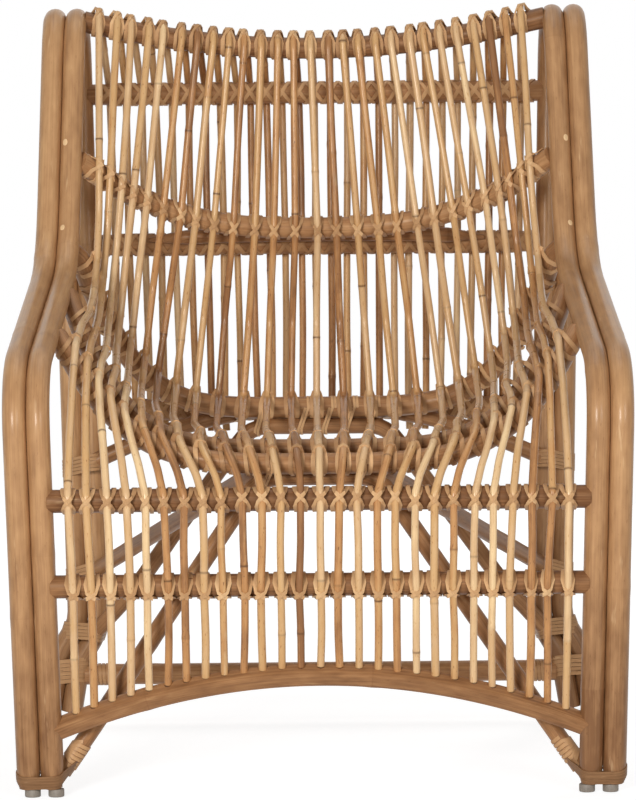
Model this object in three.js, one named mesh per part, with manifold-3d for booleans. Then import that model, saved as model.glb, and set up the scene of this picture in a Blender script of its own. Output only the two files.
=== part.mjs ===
// Rattan lounge armchair: doubled bent poles at each side, U-shaped hoops between them, and a shell of
// long canes that runs from the bottom front rail over the seat and the back and down behind.
// Millimetres, +Z up, the sitter faces -Y. Depths are measured back from the front of the arms.

import * as THREE from 'three';
import { mergeVertices } from 'three/addons/utils/BufferGeometryUtils.js';
import Module from 'manifold-3d';

const wasm = await Module();
wasm.setup();

// Fits
const FIT = 0.3; // gap between pieces that touch
const COPE_DEPTH = 6; // how far a rail's end reaches round the pole that it is coped to

// Side frames: the centre line of each pair of poles
const POLE_DIAMETER = 26;
const FRONT_FOOT_HALF_WIDTH = 314;
const FRONT_FOOT_DEPTH = 20;
const ARM_HALF_WIDTH = 325;
const ARM_FRONT_HEIGHT = 474;
const ARM_FRONT_BEND = 80;
const BACK_HALF_WIDTH = 312;
const ARM_BACK_DEPTH = 423;
const ARM_BACK_HEIGHT = 573;
const ARM_BACK_BEND = 130;
const TOP_HALF_WIDTH = 305;
const TOP_HEIGHT = 872;
const TOP_FRONT_DEPTH = 516;
const TOP_REAR_DEPTH = 622;
const TOP_BEND = 54;
const REAR_KNEE_HALF_WIDTH = 289;
const REAR_KNEE_HEIGHT = 118;
const REAR_KNEE_DEPTH = 590;
const REAR_KNEE_BEND = 60;
const REAR_ANKLE_HALF_WIDTH = 313;
const REAR_ANKLE_HEIGHT = 80;
const REAR_ANKLE_DEPTH = 589;
const REAR_ANKLE_BEND = 30;
const REAR_FOOT_HALF_WIDTH = 325;
const REAR_FOOT_DEPTH = 586;

// Feet
const GLIDE_DIAMETER = 18;
const GLIDE_HEIGHT = 9;
const GLIDE_CHAMFER = 1;
const GLIDE_INSET = 4; // from the middle of the pole towards the middle of the chair
const PEEL_WIDTH = 4.6;
const PEEL_THICKNESS = 1.2;
const BINDING_GAP = 0.7; // between one turn of peel and the next
const FRONT_BINDING = { lift: 0, turns: 5 }; // lift above the ends of the poles
const REAR_BINDING = { lift: 38, turns: 4 };

// Hoops: each is flat, in a slanted plane, and its sides rise as a power of the distance from the middle.
// Crowding spaces the canes wider in the middle by that share, and closer at the sides by twice as much.
const HOOP_DIAMETER = 26;
const SEAT_HOOP_DIAMETER = 24;
const TOP_RAIL_DROP = 2; // of its ends below the top of the side frames
const TOP_RAIL_SAG = 36; // of its middle below its ends
const TOP_RAIL = {
  endHeight: TOP_HEIGHT - TOP_RAIL_DROP,
  centreDepth: 566,
  centreHeight: TOP_HEIGHT - TOP_RAIL_DROP - TOP_RAIL_SAG,
  power: 2,
  caneMargin: 28,
  crowding: 0,
};
const UPPER_BACK_HOOP = {
  endHeight: 704,
  centreDepth: 560,
  centreHeight: 613,
  power: 2.8,
  caneMargin: 20,
  crowding: 0.17,
};
const LOWER_BACK_HOOP = {
  endHeight: 606,
  centreDepth: 548,
  centreHeight: 392,
  power: 5,
  caneMargin: 28,
  crowding: 0.07,
};
const SEAT_HOOP = {
  endHeight: 552,
  centreDepth: 75,
  centreHeight: 382,
  power: 4.6,
  caneMargin: 38,
  crowding: 0.05,
};
const FRONT_EDGE_HOOP = {
  endHeight: 514,
  centreDepth: 32,
  centreHeight: 370,
  power: 4,
  caneMargin: 32,
  crowding: 0.03,
};

// Rails between the front legs and between the rear legs
const RAIL_DIAMETER = 26;
const FRONT_UPPER_RAIL_HEIGHT = 333;
const FRONT_LOWER_RAIL_HEIGHT = 237;
const ARCH_RAIL_END_HEIGHT = 75;
const ARCH_RAIL_CROWN_HEIGHT = 135;
const UPPER_REAR_RAIL_DROP = 93; // below the top of the side frames
const MIDDLE_REAR_RAIL_HEIGHT = 592;
const LOWER_REAR_RAIL_HEIGHT = 386;
const REAR_STRETCHER_HEIGHT = 56;
const FRONT_CANES = { caneMargin: 24, crowding: 0 };
const REAR_CANES = { caneMargin: 26, crowding: 0 };

// Braces
const BRACE_DIAMETER = 20;
const BRACE_BEND = 42;
const FRONT_BRACE_HALF_TOP = 66;
const FRONT_BRACE_TUCK = 45; // degrees that its top lies behind the underside of the front edge hoop
const FRONT_BRACE_FOOT_SIDE = 115; // degrees round the front pole, between its inner side and its back
const FRONT_BRACE_KNEE_HALF_WIDTH = 253;
const FRONT_BRACE_KNEE_HEIGHT = 78;
const FRONT_BRACE_FOOT_HEIGHT = 24;
const REAR_BRACE_HALF_TOP = 84;
const REAR_BRACE_KNEE_HALF_WIDTH = 231;
const REAR_BRACE_KNEE_HEIGHT = 166;
const REAR_BRACE_FOOT_HEIGHT = 112;
const SEAT_BRACE_HALF_TOP = 66;
const SEAT_BRACE_FOOT_HEIGHT = 190;
const LUMBAR_BOW_FOOT_HEIGHT = 324;
const SPACER_BOW_DIAMETER = 18;
const SPACER_BOW_HALF_LENGTH = 208;
const SPACER_BOW_SCARF = 45;
const SPACER_BOW_TIP = 6;

// Canes
const CANE_COUNT = 27;
const CANE_DIAMETER = 9;
const CANE_SEAT_DEPTH = 12; // how deep a cane stands in the arched rail
const CANE_TAIL = 17; // how far a cane runs on below the lower rear rail

// Facets
const POLE_SIDES = 8;
const RAIL_SIDES = 8;
const CANE_SIDES = 6;
const BOW_STEPS = 12;
const BEND_STEP = 12; // degrees of a bend to one facet
const TOP_TURN_STEPS = 5;
const TURN_STEPS = 12; // of the peel once round a pair of poles
const GLIDE_SIDES = 8;
const SHELL_STEPS = [1, 1, 1, 3, 2, 3, 2, 1]; // of a cane from each contact to the next, up to the top rail
const SHELL_KINK = 0.9; // share of a cane's turn at a hoop that falls on the one ring there
const CONTACT_PASSES = 3; // until the contacts of a cane have settled
const SPACING_STEPS = 240; // along a curve, to space the canes on it

const POLE_RADIUS = POLE_DIAMETER / 2;
const PAIR_OFFSET = POLE_RADIUS + FIT / 2;
const HOOP_RADIUS = HOOP_DIAMETER / 2;
const SEAT_HOOP_RADIUS = SEAT_HOOP_DIAMETER / 2;
const RAIL_RADIUS = RAIL_DIAMETER / 2;
const BRACE_RADIUS = BRACE_DIAMETER / 2;
const SPACER_RADIUS = SPACER_BOW_DIAMETER / 2;
const CANE_RADIUS = CANE_DIAMETER / 2;
const FOOT_HEIGHT = GLIDE_HEIGHT + FIT;
const POLE_FRONT = -90;
const HALF_TURN = TURN_STEPS / 2 - 1; // facets of the peel on the half round of one pole
const TURN_ANGLE = Math.PI / HALF_TURN;
const BINDING_THICKNESS = (POLE_RADIUS + FIT) / Math.cos(TURN_ANGLE / 2) - POLE_RADIUS + PEEL_THICKNESS;
const X_AXIS = new THREE.Vector3(1, 0, 0);
const Y_AXIS = new THREE.Vector3(0, 1, 0);
const Z_AXIS = new THREE.Vector3(0, 0, 1);

const { degToRad, lerp } = THREE.MathUtils;
const chair = new THREE.Group();

/** A matt or lacquered surface in one colour. */
function finish(color, roughness) {
  return new THREE.MeshStandardMaterial({ color, roughness, metalness: 0 });
}

const POLE_FINISH = ['#b48c64', 0.38];
const RAIL_FINISH = ['#a87c52', 0.45];
const CANE_FINISH = ['#d2a96f', 0.42];
const PEEL_FINISH = ['#dcb98a', 0.55];
const GLIDE_FINISH = ['#96918c', 0.6];

/** Adds one named piece to the chair. */
function addPiece(name, geometry, [color, roughness]) {
  const piece = new THREE.Mesh(geometry, finish(color, roughness));
  piece.name = name;
  chair.add(piece);
}

/** The mirror image of a point across the middle of the chair. */
function mirrored(point) {
  return new THREE.Vector3(-point.x, point.y, point.z);
}

// Solids from rings of points

/** Directions along a route at each of its points. */
function tangentsOf(points) {
  return points.map((point, i) => {
    const before = points[Math.max(i - 1, 0)];
    const after = points[Math.min(i + 1, points.length - 1)];
    const arriving = point.clone().sub(before).normalize();
    const leaving = after.clone().sub(point).normalize();
    return arriving.add(leaving).normalize();
  });
}

/** The part of a direction that is square to a tangent. */
function squareTo(direction, tangent) {
  return direction.clone().addScaledVector(tangent, -direction.dot(tangent)).normalize();
}

/**
 * Rings of equal sides along a route. The first corner of each ring lies on the side that `toward` names,
 * turned on from there by an angle.
 */
function ringsAlong(points, radius, sides, toward, turned = 0) {
  const tangents = tangentsOf(points);
  return points.map((point, i) => {
    const first = squareTo(toward, tangents[i]);
    const second = tangents[i].clone().cross(first);
    const size = typeof radius === 'number' ? radius : radius(i);
    return Array.from({ length: sides }, (_, k) => {
      const angle = turned + (2 * Math.PI * k) / sides;
      const corner = point.clone().addScaledVector(first, size * Math.cos(angle));
      return corner.addScaledVector(second, size * Math.sin(angle));
    });
  });
}

/** Closed solid through rings that all have the same number of corners. */
function loft(rings) {
  const sides = rings[0].length;
  const last = (rings.length - 1) * sides;
  const faces = [];
  for (let start = 0; start < last; start += sides) {
    for (let k = 0; k < sides; k += 1) {
      const a = start + k;
      const b = start + ((k + 1) % sides);
      faces.push(a, b, b + sides, a, b + sides, a + sides);
    }
  }
  for (let k = 1; k < sides - 1; k += 1) {
    faces.push(0, k + 1, k, last, last + k, last + k + 1);
  }
  const geometry = new THREE.BufferGeometry();
  const corners = rings.flat().flatMap((corner) => corner.toArray());
  geometry.setAttribute('position', new THREE.Float32BufferAttribute(corners, 3));
  geometry.setIndex(faces);
  return geometry;
}

/** Closed round stick along a route. */
function stick(points, radius, sides, toward, turned) {
  return loft(ringsAlong(points, radius, sides, toward, turned));
}

/** Straight runs through corners, with each inner corner bent to its radius. */
function bentRoute(corners, bends) {
  const points = [corners[0]];
  for (let i = 1; i < corners.length - 1; i += 1) {
    points.push(...bendAt(corners[i - 1], corners[i], corners[i + 1], bends[i - 1]));
  }
  points.push(corners[corners.length - 1]);
  return points;
}

/** Points on the arc that rounds the corner between two straight runs. */
function bendAt(before, corner, after, radius) {
  const back = before.clone().sub(corner).normalize();
  const ahead = after.clone().sub(corner).normalize();
  const turn = Math.PI - back.angleTo(ahead);
  const tangentLength = radius * Math.tan(turn / 2);
  const middle = back.clone().add(ahead).normalize();
  const centre = corner.clone().addScaledVector(middle, radius / Math.cos(turn / 2));
  const first = corner.clone().addScaledVector(back, tangentLength).sub(centre);
  const last = corner.clone().addScaledVector(ahead, tangentLength).sub(centre);
  const axis = first.clone().cross(last).normalize();
  const steps = Math.max(2, Math.ceil(turn / degToRad(BEND_STEP)));
  return Array.from({ length: steps + 1 }, (_, k) => {
    return first.clone().applyAxisAngle(axis, (turn * k) / steps).add(centre);
  });
}

/** A manifold solid from a closed mesh. */
function toSolid(geometry) {
  const merged = mergeVertices(geometry);
  const vertProperties = new Float32Array(merged.attributes.position.array);
  const triVerts = new Uint32Array(merged.index.array);
  return new wasm.Manifold(new wasm.Mesh({ numProp: 3, vertProperties, triVerts }));
}

/** A mesh from a manifold solid. */
function toGeometry(solid) {
  const mesh = solid.getMesh();
  const geometry = new THREE.BufferGeometry();
  geometry.setAttribute('position', new THREE.BufferAttribute(mesh.vertProperties, 3));
  geometry.setIndex(new THREE.BufferAttribute(mesh.triVerts, 1));
  return geometry;
}

// Side frames

/** Centre line of a pair of poles, from the front foot over the top to the rear foot. */
function pairRoute(side) {
  const corners = [
    [FRONT_FOOT_HALF_WIDTH, FRONT_FOOT_DEPTH, FOOT_HEIGHT],
    [ARM_HALF_WIDTH, 0, ARM_FRONT_HEIGHT],
    [BACK_HALF_WIDTH, ARM_BACK_DEPTH, ARM_BACK_HEIGHT],
    [TOP_HALF_WIDTH, TOP_FRONT_DEPTH, TOP_HEIGHT],
    [TOP_HALF_WIDTH, TOP_REAR_DEPTH, TOP_HEIGHT],
    [REAR_KNEE_HALF_WIDTH, REAR_KNEE_DEPTH, REAR_KNEE_HEIGHT],
    [REAR_ANKLE_HALF_WIDTH, REAR_ANKLE_DEPTH, REAR_ANKLE_HEIGHT],
    [REAR_FOOT_HALF_WIDTH, REAR_FOOT_DEPTH, FOOT_HEIGHT],
  ].map(([x, y, z]) => new THREE.Vector3(side * x, y, z));
  const rearBends = [REAR_KNEE_BEND, REAR_ANKLE_BEND];
  return bentRoute(corners, [ARM_FRONT_BEND, ARM_BACK_BEND, TOP_BEND, TOP_BEND, ...rearBends]);
}

/** Centre line of one pole of a pair, set outward from the pair's own, or inward where it is negative. */
function poleRoute(side, outward) {
  const pair = pairRoute(side);
  const tangents = tangentsOf(pair);
  return pair.map((point, i) => {
    return point.clone().addScaledVector(squareTo(X_AXIS, tangents[i]), side * outward);
  });
}

/** Slides the corners of a ring along a leg until all lie level with the top of the glides. */
function levelAtFoot(ring, along) {
  ring.forEach((corner) => corner.addScaledVector(along, (FOOT_HEIGHT - corner.z) / along.z));
}

/** Solid of one pole, with its feet cut level. */
function poleSolid(route, radius) {
  const rings = ringsAlong(route, radius, POLE_SIDES, X_AXIS);
  const tangents = tangentsOf(route);
  levelAtFoot(rings[0], tangents[0]);
  levelAtFoot(rings[rings.length - 1], tangents[tangents.length - 1]);
  return loft(rings);
}

const INNER_ROUTE = poleRoute(1, -PAIR_OFFSET);

/** First point of a route, counted from its start, at a height. */
function pointAtHeight(route, height) {
  const i = route.findIndex((point) => point.z >= height);
  const share = (height - route[i - 1].z) / (route[i].z - route[i - 1].z);
  return route[i - 1].clone().lerp(route[i], share);
}

/** Centre of the right inner pole on its front leg, arm or back, at a height. */
function frontPoleAt(height) {
  return pointAtHeight(INNER_ROUTE, height);
}

/** Centre of the right inner pole on its rear leg, at a height. */
function rearPoleAt(height) {
  return pointAtHeight(INNER_ROUTE.toReversed(), height);
}

/** The inner poles with a radius of their own: what is cut from the ends of the rails between them. */
function poleCutter(radius) {
  return [1, -1]
    .map((side) => poleRoute(side, -PAIR_OFFSET))
    .map((route) => toSolid(poleSolid(route, radius)))
    .reduce((left, right) => left.add(right));
}

const FACET_SHARE = Math.cos(Math.PI / POLE_SIDES); // of a pole's radius at the middle of a facet
const POLE_CUTTER = poleCutter(POLE_RADIUS + FIT / FACET_SHARE);
const BOUND_POLE_CUTTER = poleCutter((POLE_RADIUS + BINDING_THICKNESS + FIT) / FACET_SHARE);

/** Shapes the ends of a rail to the poles that they meet. */
function copedToPoles(geometry, cutter = POLE_CUTTER) {
  return toGeometry(toSolid(geometry).subtract(cutter));
}

const SIDES = [['left', -1], ['right', 1]];

SIDES.forEach(([name, side]) => {
  addPiece(`${name}_outer_pole`, poleSolid(poleRoute(side, PAIR_OFFSET), POLE_RADIUS), POLE_FINISH);
  addPiece(`${name}_inner_pole`, poleSolid(poleRoute(side, -PAIR_OFFSET), POLE_RADIUS), POLE_FINISH);
});

// Hoops and rails

/** Where the right end of a rail stops, just inside the pole that it is coped to. */
function railEnd(poleCentre) {
  return poleCentre.clone().addScaledVector(X_AXIS, COPE_DEPTH - POLE_RADIUS);
}

/** A flat U-shaped hoop between the two inner poles. */
class HoopCurve extends THREE.Curve {
  constructor({ endHeight, centreDepth, centreHeight, power }) {
    super();
    this.end = railEnd(frontPoleAt(endHeight));
    this.centre = new THREE.Vector3(0, centreDepth, centreHeight);
    this.power = power;
  }

  getPoint(t, target = new THREE.Vector3()) {
    const share = 2 * t - 1;
    const rise = Math.abs(share) ** this.power;
    const { end, centre } = this;
    return target.set(share * end.x, lerp(centre.y, end.y, rise), lerp(centre.z, end.z, rise));
  }
}

/** A straight rail between two inner poles. */
function straightRail(poleCentre) {
  const end = railEnd(poleCentre);
  return new THREE.LineCurve3(mirrored(end), end);
}

/** An arched bar between two mirrored ends, through a crown in the middle. */
function archedBar(end, crownDepth, crownHeight) {
  const pull = new THREE.Vector3(0, 2 * crownDepth - end.y, 2 * crownHeight - end.z);
  return new THREE.QuadraticBezierCurve3(mirrored(end), pull, end);
}

const topRail = new HoopCurve(TOP_RAIL);
const upperBackHoop = new HoopCurve(UPPER_BACK_HOOP);
const lowerBackHoop = new HoopCurve(LOWER_BACK_HOOP);
const seatHoop = new HoopCurve(SEAT_HOOP);
const frontEdgeHoop = new HoopCurve(FRONT_EDGE_HOOP);
const frontUpperRail = straightRail(frontPoleAt(FRONT_UPPER_RAIL_HEIGHT));
const frontLowerRail = straightRail(frontPoleAt(FRONT_LOWER_RAIL_HEIGHT));
const archEnd = railEnd(frontPoleAt(ARCH_RAIL_END_HEIGHT));
const frontArchRail = archedBar(archEnd, archEnd.y, ARCH_RAIL_CROWN_HEIGHT);
const upperRearRail = straightRail(rearPoleAt(TOP_HEIGHT - UPPER_REAR_RAIL_DROP));
const middleRearRail = straightRail(rearPoleAt(MIDDLE_REAR_RAIL_HEIGHT));
const lowerRearRail = straightRail(rearPoleAt(LOWER_REAR_RAIL_HEIGHT));
const rearStretcher = straightRail(rearPoleAt(REAR_STRETCHER_HEIGHT));

/** Shares of a curve's length at which the canes cross it, from the left, spaced out in the front view. */
function caneShares(curve, { caneMargin, crowding }) {
  const marks = [0];
  curve.getSpacedPoints(SPACING_STEPS).reduce((before, after) => {
    marks.push(marks[marks.length - 1] + Math.hypot(after.x - before.x, after.z - before.z));
    return after;
  });
  const half = marks[SPACING_STEPS] / 2;
  return Array.from({ length: CANE_COUNT }, (_, i) => {
    const place = (2 * i) / (CANE_COUNT - 1) - 1;
    const mark = half + (half - caneMargin) * place * (1 + crowding * (1 - place ** 2));
    const next = marks.findIndex((passed) => passed > mark);
    const share = (mark - marks[next - 1]) / (marks[next] - marks[next - 1]);
    return (next - 1 + share) / SPACING_STEPS;
  });
}

/** Adds a hoop, with a facet to each cane and its ends coped to the poles. */
function addHoop(name, curve, radius, spread, toward = Y_AXIS) {
  const points = [0, ...caneShares(curve, spread), 1].map((share) => curve.getPointAt(share));
  addPiece(name, copedToPoles(stick(points, radius, RAIL_SIDES, toward)), RAIL_FINISH);
}

/** Adds a straight rail, with its ends coped to the poles. */
function addRail(name, curve, { toward = Y_AXIS, cutter } = {}) {
  const rail = stick(curve.getPoints(1), RAIL_RADIUS, RAIL_SIDES, toward);
  addPiece(name, copedToPoles(rail, cutter), RAIL_FINISH);
}

/** Direction in which the spacer bow holds the upper back hoop off the middle rear rail. */
const spacing = middleRearRail.getPoint(0.5).sub(upperBackHoop.centre).normalize();

addHoop('top_rail', topRail, HOOP_RADIUS, TOP_RAIL);
addHoop('upper_back_hoop', upperBackHoop, HOOP_RADIUS, UPPER_BACK_HOOP, spacing);
addHoop('lower_back_hoop', lowerBackHoop, HOOP_RADIUS, LOWER_BACK_HOOP);
addHoop('seat_hoop', seatHoop, SEAT_HOOP_RADIUS, SEAT_HOOP);
addHoop('front_edge_hoop', frontEdgeHoop, SEAT_HOOP_RADIUS, FRONT_EDGE_HOOP);
addRail('front_upper_rail', frontUpperRail);
addRail('front_lower_rail', frontLowerRail);
addRail('upper_rear_rail', upperRearRail);
addRail('middle_rear_rail', middleRearRail, { toward: spacing });
addRail('lower_rear_rail', lowerRearRail);
addRail('rear_stretcher', rearStretcher, { cutter: BOUND_POLE_CUTTER });

// Braces

/**
 * A place beside the right inner pole for the end of a brace that comes from another point, on the side of
 * the pole that an angle in degrees names, and outside whatever is wrapped round the pole there.
 */
function besidePole(poleCentre, side, from, wrapping = 0) {
  const out = new THREE.Vector3(Math.cos(degToRad(side)), Math.sin(degToRad(side)), 0);
  const along = poleCentre.clone().addScaledVector(out, POLE_RADIUS + BRACE_RADIUS).sub(from).normalize();
  const halfWidth = BRACE_RADIUS * Math.sqrt(1 - along.dot(out) ** 2);
  return poleCentre.clone().addScaledVector(out, POLE_RADIUS + wrapping + FIT + halfWidth);
}

/** A place under the middle of a hoop for the right end of a brace's flat top, tucked back by an angle. */
function underHoop(hoop, hoopRadius, halfTop, tuck = 0) {
  const reach = hoopRadius + FIT + BRACE_RADIUS;
  const offset = new THREE.Vector3(0, Math.sin(degToRad(tuck)), -Math.cos(degToRad(tuck)));
  return hoop.centre.clone().addScaledVector(offset, reach).setX(halfTop);
}

/** Route of both halves of a brace, from the corners of its right half, foot first. */
function archRoute(corners) {
  const route = [...corners, ...corners.map(mirrored).reverse()];
  return bentRoute(route, Array(route.length - 2).fill(BRACE_BEND));
}

/** Adds a brace along a route. */
function addBrace(name, points, toward) {
  addPiece(name, stick(points, BRACE_RADIUS, RAIL_SIDES, toward), RAIL_FINISH);
}

/** The arch behind the front rails, from the bound front feet up to the front edge hoop. */
function addFrontArchBrace() {
  const top = underHoop(frontEdgeHoop, SEAT_HOOP_RADIUS, FRONT_BRACE_HALF_TOP, FRONT_BRACE_TUCK);
  const knee = new THREE.Vector3(FRONT_BRACE_KNEE_HALF_WIDTH, top.y, FRONT_BRACE_KNEE_HEIGHT);
  const pole = frontPoleAt(FRONT_BRACE_FOOT_HEIGHT);
  const foot = besidePole(pole, FRONT_BRACE_FOOT_SIDE, knee, BINDING_THICKNESS);
  addBrace('front_arch_brace', archRoute([foot, knee, top]), Y_AXIS);
}

/** The arch in front of the rear legs, up to the lower back hoop. */
function addRearArchBrace() {
  const top = underHoop(lowerBackHoop, HOOP_RADIUS, REAR_BRACE_HALF_TOP);
  const knee = new THREE.Vector3(REAR_BRACE_KNEE_HALF_WIDTH, top.y, REAR_BRACE_KNEE_HEIGHT);
  const foot = besidePole(rearPoleAt(REAR_BRACE_FOOT_HEIGHT), POLE_FRONT, knee);
  addBrace('rear_arch_brace', archRoute([foot, knee, top]), Y_AXIS);
}

/** The brace from the rear legs forward under the seat hoop. */
function addSeatBrace() {
  const top = underHoop(seatHoop, SEAT_HOOP_RADIUS, SEAT_BRACE_HALF_TOP);
  const foot = besidePole(rearPoleAt(SEAT_BRACE_FOOT_HEIGHT), POLE_FRONT, top);
  addBrace('seat_brace', archRoute([foot, top]), Z_AXIS);
}

/** The bow between the rear legs that backs the lower back hoop. */
function addLumbarBow() {
  const { x, y, z } = lowerBackHoop.centre;
  const crown = new THREE.Vector3(x, y + HOOP_RADIUS + FIT + BRACE_RADIUS, z);
  const foot = besidePole(rearPoleAt(LUMBAR_BOW_FOOT_HEIGHT), POLE_FRONT, crown);
  const bow = archedBar(foot, crown.y, crown.z);
  addBrace('lumbar_bow', bow.getPoints(BOW_STEPS), Y_AXIS);
}

/** The bow that holds the upper back hoop off the middle rear rail, pared away at its ends. */
function addSpacerBow() {
  const crown = upperBackHoop.centre.clone().addScaledVector(spacing, HOOP_RADIUS + FIT + SPACER_RADIUS);
  const end = middleRearRail.getPoint(0.5).addScaledVector(spacing, -(RAIL_RADIUS + FIT + SPACER_RADIUS));
  end.x = SPACER_BOW_HALF_LENGTH;
  const points = archedBar(end, crown.y, crown.z).getPoints(BOW_STEPS);
  const radiusAt = (i) => {
    const fromEnd = SPACER_BOW_HALF_LENGTH - Math.abs(points[i].x);
    return lerp(SPACER_BOW_TIP / 2, SPACER_RADIUS, Math.min(1, fromEnd / SPACER_BOW_SCARF));
  };
  const seated = points.map((point, i) => {
    return point.clone().addScaledVector(spacing, SPACER_RADIUS - radiusAt(i));
  });
  addPiece('spacer_bow', stick(seated, radiusAt, RAIL_SIDES, spacing), RAIL_FINISH);
}

addFrontArchBrace();
addRearArchBrace();
addSeatBrace();
addLumbarBow();
addSpacerBow();

// Canes

/** Where one cane crosses each rail and hoop, in order from the bottom of the front to the bottom behind. */
function crossingsOf(index) {
  const place = (curve, radius, spread) => {
    const along = caneShares(curve, spread)[index];
    const reach = radius + FIT + CANE_RADIUS;
    return { centre: curve.getPointAt(along), tangent: curve.getTangentAt(along), reach };
  };
  return {
    foot: place(frontArchRail, RAIL_RADIUS, FRONT_CANES),
    shell: [
      place(frontLowerRail, RAIL_RADIUS, FRONT_CANES),
      place(frontUpperRail, RAIL_RADIUS, FRONT_CANES),
      place(frontEdgeHoop, SEAT_HOOP_RADIUS, FRONT_EDGE_HOOP),
      place(seatHoop, SEAT_HOOP_RADIUS, SEAT_HOOP),
      place(lowerBackHoop, HOOP_RADIUS, LOWER_BACK_HOOP),
      place(upperBackHoop, HOOP_RADIUS, UPPER_BACK_HOOP),
    ],
    top: place(topRail, HOOP_RADIUS, TOP_RAIL),
    behind: [
      place(upperRearRail, RAIL_RADIUS, REAR_CANES),
      place(middleRearRail, RAIL_RADIUS, REAR_CANES),
      place(lowerRearRail, RAIL_RADIUS, REAR_CANES),
    ],
  };
}

/**
 * Points where a cane lies on its rails, each on the side that faces the sitter or the outside.
 * Where a cane wraps round a rail, `kink` is the share of its turn that falls on the one ring there, which
 * lies that much farther out, so that the straight facets beside it clear the rail.
 */
function contactsOn(crossings, before, after, kink) {
  let contacts = crossings.map(({ centre }) => centre);
  for (let pass = 0; pass < CONTACT_PASSES; pass += 1) {
    const stops = [before, ...contacts, after];
    contacts = crossings.map(({ centre, tangent, reach }, i) => {
      const arriving = stops[i + 1].clone().sub(stops[i]).normalize();
      const leaving = stops[i + 2].clone().sub(stops[i + 1]).normalize();
      const away = tangent.clone().cross(arriving.clone().add(leaving)).normalize();
      const wraps = away.dot(leaving) < away.dot(arriving);
      const turn = wraps ? arriving.angleTo(leaving) * kink : 0;
      return centre.clone().addScaledVector(away, reach / Math.cos(turn / 2));
    });
  }
  return contacts;
}

/** The turn of a cane over the top rail, between the last contact in front and the first behind. */
function turnOverTop({ centre, tangent, reach }, arriving, leaving) {
  const bearing = (point) => Math.atan2(point.z - centre.z, point.y - centre.y);
  const lean = (point) => Math.acos(reach / Math.hypot(point.z - centre.z, point.y - centre.y));
  const first = bearing(arriving) + 2 * Math.PI - lean(arriving);
  const last = bearing(leaving) + lean(leaving);
  const step = (last - first) / TOP_TURN_STEPS;
  return Array.from({ length: TOP_TURN_STEPS + 1 }, (_, k) => {
    const angle = first + step * k;
    const out = new THREE.Vector3(0, Math.cos(angle), Math.sin(angle));
    const squareness = Math.sqrt(1 - out.dot(tangent) ** 2);
    const bulge = k === 0 || k === TOP_TURN_STEPS ? 1 : Math.cos(step / 2);
    return centre.clone().addScaledVector(out, reach / squareness / bulge);
  });
}

/** Smooth route through the contacts of a cane. */
function smoothRoute(contacts) {
  const curve = new THREE.CatmullRomCurve3(contacts);
  const spans = contacts.length - 1;
  return SHELL_STEPS.flatMap((steps, span) => {
    return Array.from({ length: steps }, (_, k) => curve.getPoint((span + k / steps) / spans));
  });
}

/** Route of one cane, and the straight stretch of it that stands in the arched rail. */
function caneRoute(index) {
  const { foot, shell, top, behind } = crossingsOf(index);
  const front = contactsOn(shell, foot.centre, top.centre, SHELL_KINK);
  const tail = behind[behind.length - 1].centre.clone().addScaledVector(Z_AXIS, -CANE_TAIL);
  const rear = contactsOn(behind, top.centre, tail, 1);
  const rising = front[0].clone().sub(foot.centre).normalize();
  const inRail = (height) => foot.centre.clone().addScaledVector(rising, RAIL_RADIUS + height);
  const over = turnOverTop(top, front[front.length - 1], rear[0]);
  const lowest = rear[rear.length - 1].clone().addScaledVector(Z_AXIS, -CANE_TAIL);
  const shellRoute = smoothRoute([inRail(-CANE_SEAT_DEPTH), inRail(CANE_DIAMETER), ...front, over[0]]);
  return {
    points: [...shellRoute, ...over, rear[0], lowest],
    socket: [inRail(-CANE_SEAT_DEPTH - FIT), inRail(CANE_DIAMETER)],
  };
}

/** A round stick with the facets of a cane, a corner of it turned to the rails. */
function caneStick(points, radius) {
  return stick(points, radius, CANE_SIDES, X_AXIS, Math.PI / 2);
}

const canes = Array.from({ length: CANE_COUNT }, (_, index) => caneRoute(index));

canes.forEach(({ points }, index) => {
  const name = `cane_${String(index + 1).padStart(2, '0')}`;
  addPiece(name, caneStick(points, CANE_RADIUS), CANE_FINISH);
});

/** The arched rail, dressed flat on its top and front, with a socket for the foot of each cane. */
function addFrontArchRail() {
  const halfSide = Math.PI / RAIL_SIDES;
  const cornerRadius = RAIL_RADIUS / Math.cos(halfSide);
  const rail = stick(frontArchRail.getPoints(BOW_STEPS), cornerRadius, RAIL_SIDES, Y_AXIS, halfSide);
  const socketRadius = CANE_RADIUS + FIT / Math.cos(Math.PI / CANE_SIDES);
  const sockets = canes
    .map(({ socket }) => toSolid(caneStick(socket, socketRadius)))
    .reduce((all, next) => all.add(next));
  const cut = toSolid(rail).subtract(sockets).subtract(POLE_CUTTER);
  addPiece('front_arch_rail', toGeometry(cut), RAIL_FINISH);
}

addFrontArchRail();

// Feet

/** Round glide under a pole, standing on the floor. */
function glide() {
  const radius = GLIDE_DIAMETER / 2;
  const profile = [
    [0, 0],
    [radius - GLIDE_CHAMFER, 0],
    [radius, GLIDE_CHAMFER],
    [radius, GLIDE_HEIGHT],
    [0, GLIDE_HEIGHT],
  ].map(([x, y]) => new THREE.Vector2(x, y));
  const turned = new THREE.LatheGeometry(profile, GLIDE_SIDES).rotateX(Math.PI / 2);
  turned.deleteAttribute('normal');
  turned.deleteAttribute('uv');
  return mergeVertices(turned);
}

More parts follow.
